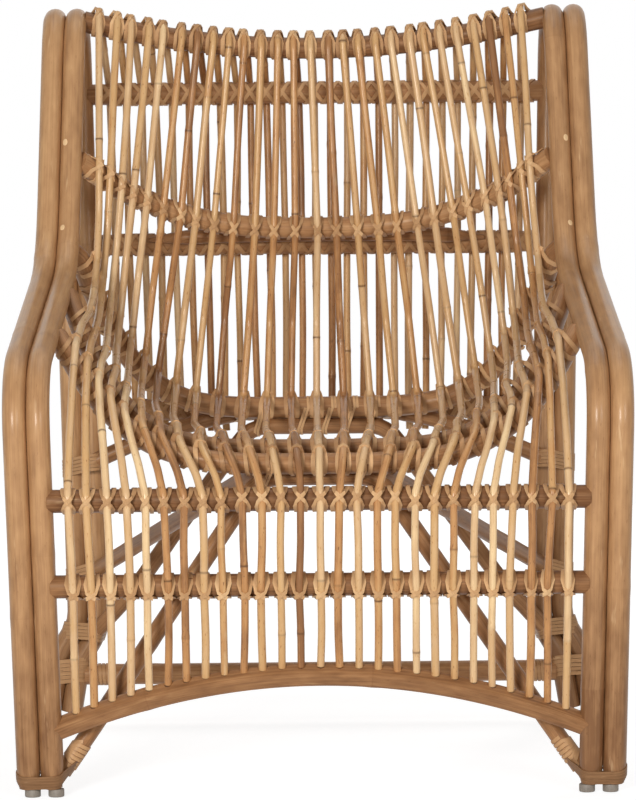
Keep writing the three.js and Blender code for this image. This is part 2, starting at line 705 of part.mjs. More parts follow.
/** Peel wound up round a pair of poles from a point on their centre line, as rings of four corners. */
function bindingRings(start, up, turns) {
  const sideways = squareTo(X_AXIS, up);
  const depthwise = up.clone().cross(sideways);
  const pitch = PEEL_WIDTH + BINDING_GAP;
  const radius = POLE_RADIUS + BINDING_THICKNESS - PEEL_THICKNESS / 2;
  return Array.from({ length: turns * TURN_STEPS + 1 }, (_, i) => {
    const step = i % TURN_STEPS;
    const pole = step <= HALF_TURN ? 1 : -1;
    const angle = (pole > 0 ? -Math.PI / 2 : Math.PI / 2) + (step % (HALF_TURN + 1)) * TURN_ANGLE;
    const out = sideways.clone().multiplyScalar(Math.cos(angle)).addScaledVector(depthwise, Math.sin(angle));
    const middle = start
      .clone()
      .addScaledVector(sideways, pole * PAIR_OFFSET)
      .addScaledVector(out, radius)
      .addScaledVector(up, FIT + PEEL_WIDTH / 2 + (pitch * i) / TURN_STEPS);
    return [[1, 1], [1, -1], [-1, -1], [-1, 1]].map(([outer, upper]) => {
      const corner = middle.clone().addScaledVector(out, (outer * PEEL_THICKNESS) / 2);
      return corner.addScaledVector(up, (upper * PEEL_WIDTH) / 2);
    });
  });
}

/** Least distance between the corners of one turn of a winding and those of the next. */
function leastGap(rings) {
  const gaps = rings.flatMap((ring, i) => {
    const nextTurn = rings.slice(i + TURN_STEPS - 1, i + TURN_STEPS + 2).flat();
    return ring.flatMap((corner) => nextTurn.map((other) => corner.distanceTo(other)));
  });
  return Math.min(...gaps);
}

/** Adds the two glides and the binding of one foot. The routes of its poles start at the foot. */
function addFoot(name, side, { lift, turns }, [pair, outer, inner]) {
  const up = pair[1].clone().sub(pair[0]).normalize();
  const rings = bindingRings(pair[0].clone().addScaledVector(up, lift), up, turns);
  addPiece(`${name}_foot_binding`, loft(rings), PEEL_FINISH);
  console.log(`${name} foot binding: least gap between turns ${leastGap(rings).toFixed(2)} mm`);
  [['outer', outer[0]], ['inner', inner[0]]].forEach(([place, foot]) => {
    const standing = glide().translate(foot.x - side * GLIDE_INSET, foot.y, 0);
    addPiece(`${name}_${place}_glide`, standing, GLIDE_FINISH);
  });
}

SIDES.forEach(([name, side]) => {
  const routes = [pairRoute(side), poleRoute(side, PAIR_OFFSET), poleRoute(side, -PAIR_OFFSET)];
  addFoot(`front_${name}`, side, FRONT_BINDING, routes);
  addFoot(`rear_${name}`, side, REAR_BINDING, routes.map((route) => route.toReversed()));
});

// The chair stands with the middle of its box over the origin
const box = new THREE.Box3().setFromObject(chair);
chair.position.y = -(box.min.y + box.max.y) / 2;

export default chair;
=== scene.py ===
"""A rattan lounge armchair with a shell of long canes, dressed over its solid model.

Each stick of the frame is read from the solid model as a line of ring centres, and made again as a round
piece of rattan with its growth nodes. Lashings and bindings of rattan peel are then tied over the sticks.
Metres, +Z up, and the sitter faces -Y.
"""

from __future__ import annotations

import logging
import math
import random
from bisect import bisect_right
from collections.abc import Callable, Iterable, Sequence
from dataclasses import dataclass, field, replace
from enum import Enum

import bpy
import numpy as np
from mathutils import Matrix, Vector

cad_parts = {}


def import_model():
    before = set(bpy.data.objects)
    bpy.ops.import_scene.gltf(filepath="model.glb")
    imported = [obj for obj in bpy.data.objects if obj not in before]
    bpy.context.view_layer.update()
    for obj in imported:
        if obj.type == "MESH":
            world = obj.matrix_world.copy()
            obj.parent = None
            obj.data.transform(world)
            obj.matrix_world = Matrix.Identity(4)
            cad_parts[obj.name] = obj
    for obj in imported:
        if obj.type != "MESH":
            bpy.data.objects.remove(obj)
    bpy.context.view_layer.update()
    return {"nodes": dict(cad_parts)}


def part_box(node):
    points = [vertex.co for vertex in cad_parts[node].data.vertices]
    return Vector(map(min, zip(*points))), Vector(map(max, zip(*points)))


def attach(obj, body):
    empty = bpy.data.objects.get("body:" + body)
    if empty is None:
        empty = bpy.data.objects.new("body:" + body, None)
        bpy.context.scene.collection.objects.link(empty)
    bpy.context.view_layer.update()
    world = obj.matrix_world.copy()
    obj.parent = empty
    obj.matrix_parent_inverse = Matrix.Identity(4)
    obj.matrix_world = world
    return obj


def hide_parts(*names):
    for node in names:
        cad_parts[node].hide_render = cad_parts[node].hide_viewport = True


log = logging.getLogger("rattan_armchair")

BODY = "root"
SEED = 27
WELD = 1e-5
NEAR_MIDDLE = 10 * WELD
X_AXIS = Vector((1.0, 0.0, 0.0))
Y_AXIS = Vector((0.0, 1.0, 0.0))
Z_AXIS = Vector((0.0, 0.0, 1.0))
SIDES = ("left", "right")
POLES = tuple(f"{side}_{place}" for side in SIDES for place in ("outer", "inner"))

Line = list[tuple[Vector, Vector]]
Frame = tuple[Vector, Vector, Vector]


class Slot(Enum):
    """Material slots of the record."""

    POLE = "pole"
    RAIL = "rail"
    CANE = "cane"
    PEEL = "peel"
    GLIDE = "glide"


class Lash(Enum):
    """How a cane is tied to a rail."""

    CROSS = "two strips that cross over the cane"
    LOOP = "one strip that arches over the cane"


# Routes


@dataclass
class Route:
    """A line through points, measured by its length."""

    points: list[Vector]
    marks: list[float] = field(init=False)

    def __post_init__(self) -> None:
        """Measure the line from its first point."""
        self.marks = [0.0]
        for before, after in zip(self.points, self.points[1:]):
            self.marks.append(self.marks[-1] + (after - before).length)

    @property
    def length(self) -> float:
        """Length of the whole line."""
        return self.marks[-1]

    def at(self, distance: float) -> Vector:
        """Find the point at a distance from the start.

        Args:
            distance: Metres along the line, held within its ends.

        Returns:
            The point there.
        """
        held = min(max(distance, 0.0), self.length)
        i = min(bisect_right(self.marks, held), len(self.points) - 1)
        span = max(self.marks[i] - self.marks[i - 1], WELD)
        return self.points[i - 1].lerp(self.points[i], (held - self.marks[i - 1]) / span)

    def heading(self, distance: float, reach: float = 0.002) -> Vector:
        """Find the direction of the line at a distance from its start.

        Args:
            distance: Metres along the line.
            reach: How far to either side the direction is measured.

        Returns:
            A direction of length 1.
        """
        return (self.at(distance + reach) - self.at(distance - reach)).normalized()

    def nearest(self, place: Vector) -> float:
        """Find where the line comes nearest to a place.

        Args:
            place: The point to come near to.

        Returns:
            Metres along the line.
        """
        best = min(range(len(self.points)), key=lambda i: (self.points[i] - place).length_squared)
        return self.marks[best]

    def at_height(self, height: float, from_end: bool = False) -> float:
        """Find where the line first rises to a height.

        Args:
            height: The height to reach.
            from_end: Whether to look from the end of the line back.

        Returns:
            Metres along the line from its start.
        """
        pairs = list(zip(self.marks, self.points))
        if from_end:
            pairs.reverse()
        return next(mark for mark, point in pairs if point.z >= height)

    def split(self, longest: float) -> Route:
        """Add points so that no straight run is longer than a limit.

        Args:
            longest: The longest run that is left.

        Returns:
            The same line with more points.
        """
        points = []
        for before, after in zip(self.points, self.points[1:]):
            count = max(1, math.ceil((after - before).length / longest))
            points += [before.lerp(after, k / count) for k in range(count)]
        return Route([*points, self.points[-1]])

    def smoothed(self, longest: float, step: float) -> Route:
        """Round the corners of the line with a smooth curve through its points.

        Args:
            longest: Straight runs are first split to this length.
            step: Distance between the points of the new line.

        Returns:
            The smooth line.
        """
        knots = self.split(longest)
        slopes = knots.slopes()
        points = []
        for i in range(len(knots.points) - 1):
            span = knots.marks[i + 1] - knots.marks[i]
            count = max(1, round(span / step))
            ends = knots.points[i], slopes[i] * span, knots.points[i + 1], slopes[i + 1] * span
            points += [hermite(*ends, k / count) for k in range(count)]
        return Route([*points, knots.points[-1]])

    def slopes(self) -> list[Vector]:
        """List the direction of the line at each of its points."""
        last = len(self.points) - 1
        pairs = [(self.points[max(i - 1, 0)], self.points[min(i + 1, last)]) for i in range(last + 1)]
        return [(after - before).normalized() for before, after in pairs]


def hermite(start: Vector, leaving: Vector, end: Vector, arriving: Vector, share: float) -> Vector:
    """Find a point on the curve between two points with given slopes.

    Args:
        start: Where the curve starts.
        leaving: Slope at the start.
        end: Where the curve ends.
        arriving: Slope at the end.
        share: How far along the curve, from 0 to 1.

    Returns:
        The point there.
    """
    square, cube = share**2, share**3
    first = start * (2 * cube - 3 * square + 1) + leaving * (cube - 2 * square + share)
    return first + end * (3 * square - 2 * cube) + arriving * (cube - square)


def smooth_step(value: float) -> float:
    """Ease a value from 0 to 1."""
    held = min(max(value, 0.0), 1.0)
    return held * held * (3 - 2 * held)


# Sticks of the solid model


class SolidStick:
    """A node of the solid model that is a faceted stick, read as rings of corners."""

    def __init__(self, node: bpy.types.Object) -> None:
        """Weld the corners of the node and note which lie beside which.

        Args:
            node: The node's object.
        """
        numbers: dict[tuple[int, int, int], int] = {}
        self.corners: list[Vector] = []
        welded = []
        for vertex in node.data.vertices:
            key = tuple(round(value / WELD) for value in vertex.co)
            if key not in numbers:
                numbers[key] = len(self.corners)
                self.corners.append(vertex.co.copy())
            welded.append(numbers[key])
        self.beside: list[set[int]] = [set() for _ in self.corners]
        for edge in node.data.edges:
            first, second = (welded[i] for i in edge.vertices)
            self.beside[first].add(second)
            self.beside[second].add(first)

    def end_ring(self, rank: Callable[[Vector], float], diameter: float) -> set[int]:
        """Find the ring of corners round one end.

        Args:
            rank: The end's corner has the lowest rank of all.
            diameter: Thickness of the stick, with a margin.

        Returns:
            The numbers of the ring's corners.
        """
        outermost = min(self.corners, key=rank)
        return {i for i, corner in enumerate(self.corners) if (corner - outermost).length < diameter}

    def middle_ring(self) -> set[int]:
        """Find the ring of corners in the middle of the chair."""
        return {i for i, corner in enumerate(self.corners) if abs(corner.x) < NEAR_MIDDLE}

    def centres(self, ring: set[int], rightward: bool = False) -> list[Vector]:
        """List the centres of the rings from one ring on, for as long as the rings are whole.

        Args:
            ring: The first ring.
            rightward: Whether to go only to the right of the first ring.

        Returns:
            The centre of each ring.
        """
        whole = len(ring)
        seen: set[int] = set()
        middles = []
        while len(ring) == whole:
            middles.append(sum((self.corners[i] for i in ring), Vector()) / whole)
            seen |= ring
            ring = {k for i in ring for k in self.beside[i]} - seen
            if rightward:
                ring = {i for i in ring if self.corners[i].x > 0}
        return middles

    def right_end(self, beyond: float) -> Vector:
        """Find the middle of the corners at the right end of the stick.

        Args:
            beyond: Only corners to the right of this count.

        Returns:
            The middle of them.
        """
        end = [corner for corner in self.corners if corner.x > beyond]
        return sum(end, Vector()) / len(end)


class Sticks:
    """Centre lines of the sticks of the solid model."""

    LONGEST_RUN = 0.02
    STEP = 0.004
    MARGIN = 1.1
    FLOOR_PULL = 10
    HOOP_END = 0.02

    def __init__(self, nodes: dict[str, bpy.types.Object]) -> None:
        """Keep the nodes to read.

        Args:
            nodes: The solid model's objects by name.
        """
        self.nodes = nodes

    def _smooth(self, points: list[Vector]) -> Route:
        """Smooth line through ring centres."""
        return Route(points).smoothed(self.LONGEST_RUN, self.STEP)

    def _centres(self, name: str, diameter: float, rank: Callable[[Vector], float]) -> list[Vector]:
        """List the ring centres of a node from its end of lowest rank."""
        solid = SolidStick(self.nodes[name])
        return solid.centres(solid.end_ring(rank, diameter * self.MARGIN))

    def pole(self, name: str, diameter: float) -> Route:
        """Read a side pole from its front foot to its rear foot.

        Args:
            name: The pole's node.
            diameter: Its thickness.

        Returns:
            Its centre line.
        """
        return self._smooth(
            self._centres(name, diameter, lambda corner: self.FLOOR_PULL * corner.z + corner.y)
        )

    def cane(self, name: str, diameter: float) -> Route:
        """Read a cane from its foot in the arched rail to its tail behind the back.

        Args:
            name: The cane's node.
            diameter: Its thickness.

        Returns:
            Its centre line.
        """
        return self._smooth(self._centres(name, diameter, lambda corner: corner.z - corner.y)[::-1])

    def brace(self, name: str, diameter: float) -> Route:
        """Read a brace or bow from its left end to its right end.

        Args:
            name: The brace's node.
            diameter: Its thickness.

        Returns:
            Its centre line.
        """
        return self._smooth(self._centres(name, diameter, lambda corner: -corner.x)[::-1])

    def hoop(self, name: str) -> Route:
        """Read a hoop from its left end to its right end.

        Args:
            name: The hoop's node.

        Returns:
            Its centre line.
        """
        solid = SolidStick(self.nodes[name])
        half = solid.centres(solid.middle_ring(), rightward=True)
        half.append(solid.right_end(half[-1].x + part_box(name)[1].x * self.HOOP_END))
        mirrored = [Vector((-point.x, point.y, point.z)) for point in half[:0:-1]]
        return self._smooth(mirrored + half)

    def rail(self, name: str) -> Route:
        """Read a straight rail from its left end to its right end.

        Args:
            name: The rail's node.

        Returns:
            Its centre line.
        """
        low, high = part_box(name)
        middle = (low + high) / 2
        ends = [Vector((x, middle.y, middle.z)) for x in (low.x, high.x)]
        return Route(ends).split(self.STEP)


# Meshes


def add_grid(name: str, columns: int, rows: int) -> bpy.types.Object:
    """Add a flat grid to shape a piece from, with nothing else selected.

    Args:
        name: The piece's name.
        columns: Corners across the grid.
        rows: Corners along the grid.

    Returns:
        The new object. Its corners run across first.
    """
    bpy.ops.object.select_all(action="DESELECT")
    bpy.ops.mesh.primitive_grid_add(x_subdivisions=columns - 1, y_subdivisions=rows - 1, size=1.0)
    piece = bpy.context.object
    piece.name = name
    piece.data.name = name
    return piece


def select_only(piece: bpy.types.Object) -> None:
    """Make a piece the only selected object and the active one."""
    bpy.ops.object.select_all(action="DESELECT")
    piece.select_set(True)
    bpy.context.view_layer.objects.active = piece


def give_thickness(piece: bpy.types.Object, thickness: float) -> None:
    """Turn a sheet into a closed strip, with its outer face left in place.

    Args:
        piece: The sheet.
        thickness: How thick it gets.
    """
    select_only(piece)
    solidify = piece.modifiers.new("thickness", "SOLIDIFY")
    solidify.thickness = thickness
    solidify.offset = -1.0
    bpy.ops.object.modifier_apply(modifier=solidify.name)


def smooth_faces(piece: bpy.types.Object, degrees: float = 40.0) -> None:
    """Shade a piece smooth across its shallow edges."""
    select_only(piece)
    bpy.ops.object.shade_smooth_by_angle(angle=math.radians(degrees))


def join_pieces(name: str, pieces: Sequence[bpy.types.Object]) -> bpy.types.Object:
    """Join several meshes into one piece.

    Args:
        name: Name of the joined piece.
        pieces: The meshes to join.

    Returns:
        The joined piece.
    """
    bpy.ops.object.select_all(action="DESELECT")
    for piece in pieces:
        piece.select_set(True)
    bpy.context.view_layer.objects.active = pieces[0]
    bpy.ops.object.join()
    pieces[0].name = name
    pieces[0].data.name = name
    return pieces[0]


def write_marks(mesh: bpy.types.Mesh, name: str, values: Sequence[float]) -> None:
    """Store one number for each corner of a mesh.

    Args:
        mesh: The mesh.
        name: Name under which materials read the numbers.
        values: One number for each corner.
    """
    attribute = mesh.attributes.new(name, "FLOAT", "POINT")
    attribute.data.foreach_set("value", values)


def mark_plain(mesh: bpy.types.Mesh, tone: float) -> None:
    """Store the marks of a piece that has no nodes and one tone all over."""
    write_marks(mesh, "scar_and_shade", [0.0] * len(mesh.vertices))
    write_marks(mesh, "tone", [tone] * len(mesh.vertices))


@dataclass(frozen=True)
class Station:
    """One ring of a stick: how far along it lies, its radius, and what its skin shows there."""

    along: float
    radius: float
    scar_and_shade: float
    tone: float


@dataclass(frozen=True)
class Growth:
    """How a length of rattan grew: its nodes, its swellings and its changes of colour."""

    spacing: tuple[float, float]
    swell: float
    swell_reach: float
    scar_reach: float
    tones: tuple[float, float]
    tone_change: float

    FIRST_NODE = (0.2, 1.0)
    FAINTEST_SCAR = 0.3
    STRONGER_SCAR = 1.1
    SCAR_RARITY = 1.5

    def nodes(self, length: float, chance: random.Random) -> dict[float, float]:
        """Place the growth nodes along a stick.

        Args:
            length: Length of the stick.
            chance: Source of the spacing and of how strong the scars are.

        Returns:
            Strength of the scars at the nodes, by each node's distance from the start of the stick.
        """
        strengths = {}
        place = chance.uniform(*self.FIRST_NODE) * self.spacing[0]
        while place < length - self.swell_reach:
            strength = self.FAINTEST_SCAR + self.STRONGER_SCAR * chance.random() ** self.SCAR_RARITY
            strengths[place] = min(1.0, strength)
            place += chance.uniform(*self.spacing)
        return strengths

    def stations(self, length: float, radius: float, step: float, chance: random.Random) -> list[Station]:
        """List the rings of a stick, with more of them round each node.

        Args:
            length: Length of the stick.
            radius: Its radius between nodes.
            step: Distance between rings away from the nodes.
            chance: Source of what differs from stick to stick.

        Returns:
            The rings in order.
        """
        nodes = self.nodes(length, chance)
        base = chance.uniform(*self.tones)
        tones = [base + chance.uniform(-1, 1) * self.tone_change for _ in range(len(nodes) + 1)]
        count = max(2, round(length / step))
        places = [length * k / count for k in range(count + 1)]
        near = [node + shift for node in nodes for shift in self._shifts()]
        kept = [place for place in places if all(abs(place - node) > self.swell_reach for node in nodes)]
        return [self._station(place, radius, nodes, tones) for place in sorted({*kept, *near, 0.0, length})]

    def _shifts(self) -> list[float]:
        """Distances of the extra rings from a node."""
        half = [self.scar_reach, self.swell_reach / 2, self.swell_reach]
        return [*(-shift for shift in half), 0.0, *half]

    def _station(
        self, place: float, radius: float, nodes: dict[float, float], tones: Sequence[float]
    ) -> Station:
        """Make one ring of a stick."""
        nearest = min(nodes, key=lambda node: abs(place - node), default=math.inf)
        away = abs(place - nearest)
        swollen = radius * (1 + self.swell * (1 - smooth_step(away / self.swell_reach)))
        scar_and_shade = nodes.get(nearest, 0.0) * (1 - smooth_step(away / self.scar_reach))
        tone = tones[bisect_right(list(nodes), place)]
        return Station(place, swollen, scar_and_shade, tone)


def round_section(angle: float) -> float:
    """Section of a round stick: the same radius at every angle."""
    return 1.0


def carried_frames(route: Route, alongs: Iterable[float], toward: Vector) -> list[Frame]:
    """Carry a pair of side directions along a route without twisting it.

    Args:
        route: The centre line.
        alongs: Distances along it.
        toward: Side that the first direction points to at the start.

    Returns:
        The centre and the two side directions at each distance.
    """
    frames = []
    across = toward
    for along in alongs:
        heading = route.heading(along)
        across = (across - heading * across.dot(heading)).normalized()
        frames.append((route.at(along), across, heading.cross(across)))
    return frames


@dataclass
class Stick:
    """A round stick of rattan along a route."""

    name: str
    route: Route
    stations: list[Station]
    sides: int
    toward: Vector
    skin_start: float
    section: Callable[[float], float] = round_section

    def build(self) -> bpy.types.Object:
        """Roll a grid round the route, weld its seam and close its ends.

        Returns:
            The finished stick.
        """
        piece = add_grid(self.name, self.sides + 1, len(self.stations))
        self._place_corners(piece.data)
        self._map_skin(piece.data)
        select_only(piece)
        bpy.ops.object.mode_set(mode="EDIT")
        bpy.ops.mesh.select_all(action="SELECT")
        bpy.ops.mesh.remove_doubles(threshold=WELD)
        bpy.ops.mesh.fill_holes(sides=0)
        bpy.ops.mesh.select_all(action="SELECT")
        bpy.ops.mesh.normals_make_consistent(inside=False)
        bpy.ops.object.mode_set(mode="OBJECT")
        smooth_faces(piece)
        return piece

    def _place_corners(self, mesh: bpy.types.Mesh) -> None:
        """Put the grid's corners round the route and mark them."""
        width = self.sides + 1
        frames = carried_frames(self.route, (station.along for station in self.stations), self.toward)
        places: list[float] = []
        for station, (centre, across, upward) in zip(self.stations, frames):
            for column in range(width):
                angle = math.tau * column / self.sides
                reach = station.radius * self.section(angle)
                places.extend(centre + (across * math.cos(angle) + upward * math.sin(angle)) * reach)
        mesh.vertices.foreach_set("co", places)
        write_marks(mesh, "scar_and_shade", [station.scar_and_shade for station in self.stations for _ in range(width)])
        write_marks(mesh, "tone", [station.tone for station in self.stations for _ in range(width)])

    def _map_skin(self, mesh: bpy.types.Mesh) -> None:
        """Lay the skin map out in metres, round the stick and along it."""
        last = len(self.stations) - 1
        for loop in mesh.uv_layers.active.data:
            station = self.stations[round(loop.uv.y * last)]
            loop.uv = (loop.uv.x * math.tau * station.radius, self.skin_start + station.along)


@dataclass(frozen=True)
class Peel:
    """A strip of rattan peel."""

    width: float = 0.004
    thickness: float = 0.0009
    tone: float = 0.5

    CREASE = 50.0

    def build(self, name: str, line: Line) -> bpy.types.Object:
        """Lay a strip along a line.

        Args:
            name: The strip's name.
            line: Points of the strip's middle, each with the direction that its outer face looks in.

        Returns:
            The closed strip.
        """
        piece = add_grid(name, 2, len(line))
        mesh = piece.data
        route = Route([point for point, _ in line])
        places: list[float] = []
        for mark, (point, outward) in zip(route.marks, line):
            across = outward.cross(route.heading(mark)).normalized() * (-self.width / 2)
            places.extend([*(point - across), *(point + across)])
        mesh.vertices.foreach_set("co", places)
        for loop in mesh.uv_layers.active.data:
            loop.uv = (loop.uv.x * self.width, route.marks[round(loop.uv.y * (len(line) - 1))])
        mark_plain(mesh, self.tone)
        give_thickness(piece, self.thickness)
        smooth_faces(piece, self.CREASE)
        return piece


# Lashings and windings


@dataclass(frozen=True)
class Crossing:
    """Where a cane crosses a rail: the rail's centre there, and the directions of rail, cane and outside."""

    centre: Vector
    along: Vector
    upward: Vector
    outward: Vector

    STEEPEST = 1.3

    def moved(self, offset: Vector) -> Crossing:
        """Make the same crossing at a place beside it."""
        return Crossing(self.centre + offset, self.along, self.upward, self.outward)

    def place(self, mesh: bpy.types.Mesh) -> None:
        """Move a lashing's mesh from its own frame to this crossing, leaning as the cane leans."""
        square = self.outward.cross(self.along).normalized()
        upright = self.upward.dot(square)
        along = self.along if upright > 0 else -self.along
        square = square if upright > 0 else -square
        lean = self.upward.dot(along) / max(abs(upright), WELD)
        lean = min(max(lean, -self.STEEPEST), self.STEEPEST)
        wider = math.sqrt(1 + lean * lean)
        columns = along * wider, square + along * lean, self.outward
        mesh.transform(Matrix(columns).transposed().to_4x4())
        mesh.transform(Matrix.Translation(self.centre))


@dataclass(frozen=True)
class LashShape:
    """Strips of peel over a cane and round a rail: X along the rail, Y up the cane, Z outward.

    The spreads are how far to the side of the cane a strip passes the top of the rail, the upper half of its
    face, the lower half and the bottom. The height is where on the cane the strips cross or arch. A wrapped
    cane bends round the rail instead of passing straight over it. Angles round the rail are in degrees from
    the outside up, and angles round the cane from the outside to the right.
    """

    rail_radius: float
    cane_radius: float
    peel: Peel
    spreads: tuple[float, float, float, float]
    height: float
    wrapped: bool = False

    LIFT = 0.0004
    EDGE = 74.0
    BEHIND = ((0.0, 180.0), (0.5, 142.0), (0.9, 106.0))
    FLANK = 56.0
    STEEPNESS = 0.5
    LEG_ANGLES = (-138.0, -100.0, -58.0, -18.0, 14.0)
    LEG_END = 0.6
    SHOULDER = -50.0
    SHOULDER_DROP = 0.12

    def _on_rail(self, across: float, degrees: float) -> tuple[Vector, Vector]:
        """Find a place on the rail, at an angle from the outside up."""
        angle = math.radians(degrees)
        outward = Vector((0.0, math.sin(angle), math.cos(angle)))
        reach = self.rail_radius + self.peel.thickness + self.LIFT
        return Vector((across, 0.0, 0.0)) + outward * reach, outward

    def _on_cane(self, degrees: float, height: float, layer: int = 0) -> tuple[Vector, Vector]:
        """Find a place on the cane, at an angle from the outside to the right."""
        angle = math.radians(degrees)
        outward = Vector((math.sin(angle), 0.0, math.cos(angle)))
        reach = self.rail_radius + self.cane_radius
        axis = Vector((0.0, height, reach))
        if self.wrapped:
            bend = Matrix.Rotation(-height / reach, 3, "X")
            axis = bend @ Vector((0.0, 0.0, reach))
            outward = bend @ outward
        return axis + outward * (self.cane_radius + self.peel.thickness * (1 + layer)), outward

    def cross(self) -> list[Line]:
        """List two strips that cross over the cane, and cross again behind the rail."""
        top, upper, lower, bottom = self.spreads
        height = self.height
        level = math.degrees(math.asin(height / self.rail_radius))
        slope = (self.rail_radius - abs(height)) * self.STEEPNESS
        lines = []
        for layer, side in ((0, 1.0), (1, -1.0)):
            line = [
                *(self._on_rail(-top * share, angle) for share, angle in self.BEHIND),
                self._on_rail(-top, self.EDGE),
                self._on_rail(-upper, (level + self.EDGE) / 2),
                self._on_cane(-self.FLANK, height + slope),
                self._on_cane(0.0, height, layer),
                self._on_cane(self.FLANK, height - slope),
                self._on_rail(lower, (level - self.EDGE) / 2),
                self._on_rail(bottom, -self.EDGE),
                *(self._on_rail(bottom * share, -angle) for share, angle in reversed(self.BEHIND)),
            ]
            lines.append([(swung(point, side), swung(outward, side)) for point, outward in line])
        return lines

    def loop(self) -> list[Line]:
        """List one strip that arches over the cane, with its legs down both sides of it."""
        top, upper, lower, bottom = self.spreads
        widths = bottom * self.LEG_END, bottom, lower, upper, top
        half = [self._on_rail(-width, angle) for width, angle in zip(widths, self.LEG_ANGLES)]
        half.append(self._on_cane(self.SHOULDER, self.height - self.rail_radius * self.SHOULDER_DROP))
        crown = self._on_cane(0.0, self.height)
        mirrored = [(swung(point, -1.0), swung(outward, -1.0)) for point, outward in reversed(half)]
        return [[*half, crown, *mirrored]]


def swung(vector: Vector, side: float) -> Vector:
    """Mirror a vector from left to right where the side is negative."""
    return Vector((vector.x * side, vector.y, vector.z))


class Lashings:
    """Copies of one lashing along a rail, each a little wider or more slanting than the next."""

    WIDTHS = (0.93, 1.16)
    SWAY = 0.12

    def __init__(self, name: str, kind: Lash, shape: LashShape) -> None:
        """Tie the first lashing in its own frame.

        Args:
            name: Name of the row.
            kind: How the canes are tied.
            shape: The strips' sizes.
        """
        lines = shape.cross() if kind is Lash.CROSS else shape.loop()
        strips = [shape.peel.build(f"{name}_strip_{i}", line) for i, line in enumerate(lines)]
        self.name = name
        self.first = join_pieces(f"{name}_first", strips) if len(strips) > 1 else strips[0]

    def tie(
        self, crossings: Sequence[Crossing], tones: tuple[float, float], chance: random.Random
    ) -> bpy.types.Object:
        """Copy the lashing to each crossing and join the copies.

        Args:
            crossings: Where the canes cross the rail.
            tones: Darkest and lightest tone of the row.
            chance: Source of the differences in width, slant and colour.

        Returns:
            The row of lashings.
        """
        copies = []
        for crossing in crossings:
            copy = self.first.copy()
            copy.data = self.first.data.copy()
            bpy.context.scene.collection.objects.link(copy)
            copy.data.transform(self._by_hand(chance))
            crossing.place(copy.data)
            tone = chance.uniform(*tones)
            marks = copy.data.attributes["tone"]
            marks.data.foreach_set("value", [tone] * len(marks.data))
            copies.append(copy)
        bpy.data.objects.remove(self.first)
        return join_pieces(self.name, copies)

    def _by_hand(self, chance: random.Random) -> Matrix:
        """Make one lashing a little wider and more slanting than the first, or less."""
        change = Matrix.Identity(4)
        change[0][0] = chance.uniform(*self.WIDTHS)
        change[0][1] = chance.uniform(-self.SWAY, self.SWAY)
        return change


@dataclass(frozen=True)
class Core:
    """A stick inside a winding.

    It may be pared, which makes it slimmer at the winding's start. The slant is how far it goes to the side
    for each metre along the winding.
    """

    centre: Vector
    radius: float
    pared: float = 0.0
    slant: Vector = field(default_factory=Vector)

    FULL_AT = 0.6

    def radius_at(self, share: float) -> float:
        """Find the radius at a share of the way along the winding."""
        return self.radius - self.pared * (1 - smooth_step(share / self.FULL_AT))


@dataclass
class Winding:
    """Peel wound in a row round one stick, or round several that lie side by side.

    Where a fan is given, the turns lie closer together on the side that it points to. Where a lean is given,
    each turn climbs more than the one before it toward the side that the lean points to.
    """

    name: str
    cores: list[Core]
    axis: Vector
    turns: int
    peel: Peel
    fan: Vector = field(default_factory=Vector)
    lean: Vector = field(default_factory=Vector)
    gap: float = 0.0006
    steps: int = 22

    ALMOST_LEVEL = 0.7

    def build(self) -> bpy.types.Object:
        """Wind one long strip.

        Returns:
            The winding.
        """
        return self.peel.build(self.name, self.line())

    def line(self) -> Line:
        """Follow the strip's middle round the sticks, and on by its width with each turn."""
        helper = X_AXIS if abs(self.axis.x) < self.ALMOST_LEVEL else Z_AXIS
        side = self.axis.cross(helper).normalized()
        other = self.axis.cross(side)
        pitch = self.peel.width + self.gap
        count = self.turns * self.steps
        middle = sum((core.centre for core in self.cores), Vector()) / len(self.cores)
        line = []
        for k in range(count + 1):
            angle = math.tau * k / self.steps
            outward = side * math.cos(angle) + other * math.sin(angle)
            share = k / count
            core = max(self.cores, key=lambda core: core.centre.dot(outward) + core.radius_at(share))
            reach = core.radius_at(share) + self.peel.thickness
            spread = 1 - max(0.0, outward.dot(self.fan))
            onward = pitch * self.turns * (share - 0.5) * spread
            place = core.centre + outward * reach
            onward += (place - middle).dot(self.lean) * share
            line.append((place + self.axis * onward + core.slant * onward, outward))
        return line


# Finishes


Socket = bpy.types.NodeSocket
Colour = tuple[float, float, float, float]


def srgb(red: int, green: int, blue: int) -> Colour:
    """Colour on screen as the linear colour that a shader takes."""
    values = [value / 255 for value in (red, green, blue)]
    linear = [value / 12.92 if value <= 0.04045 else ((value + 0.055) / 1.055) ** 2.4 for value in values]
    return (*linear, 1.0)


def grey(value: float) -> Colour:
    """Grey as the linear colour that a shader takes."""
    return (value, value, value, 1.0)


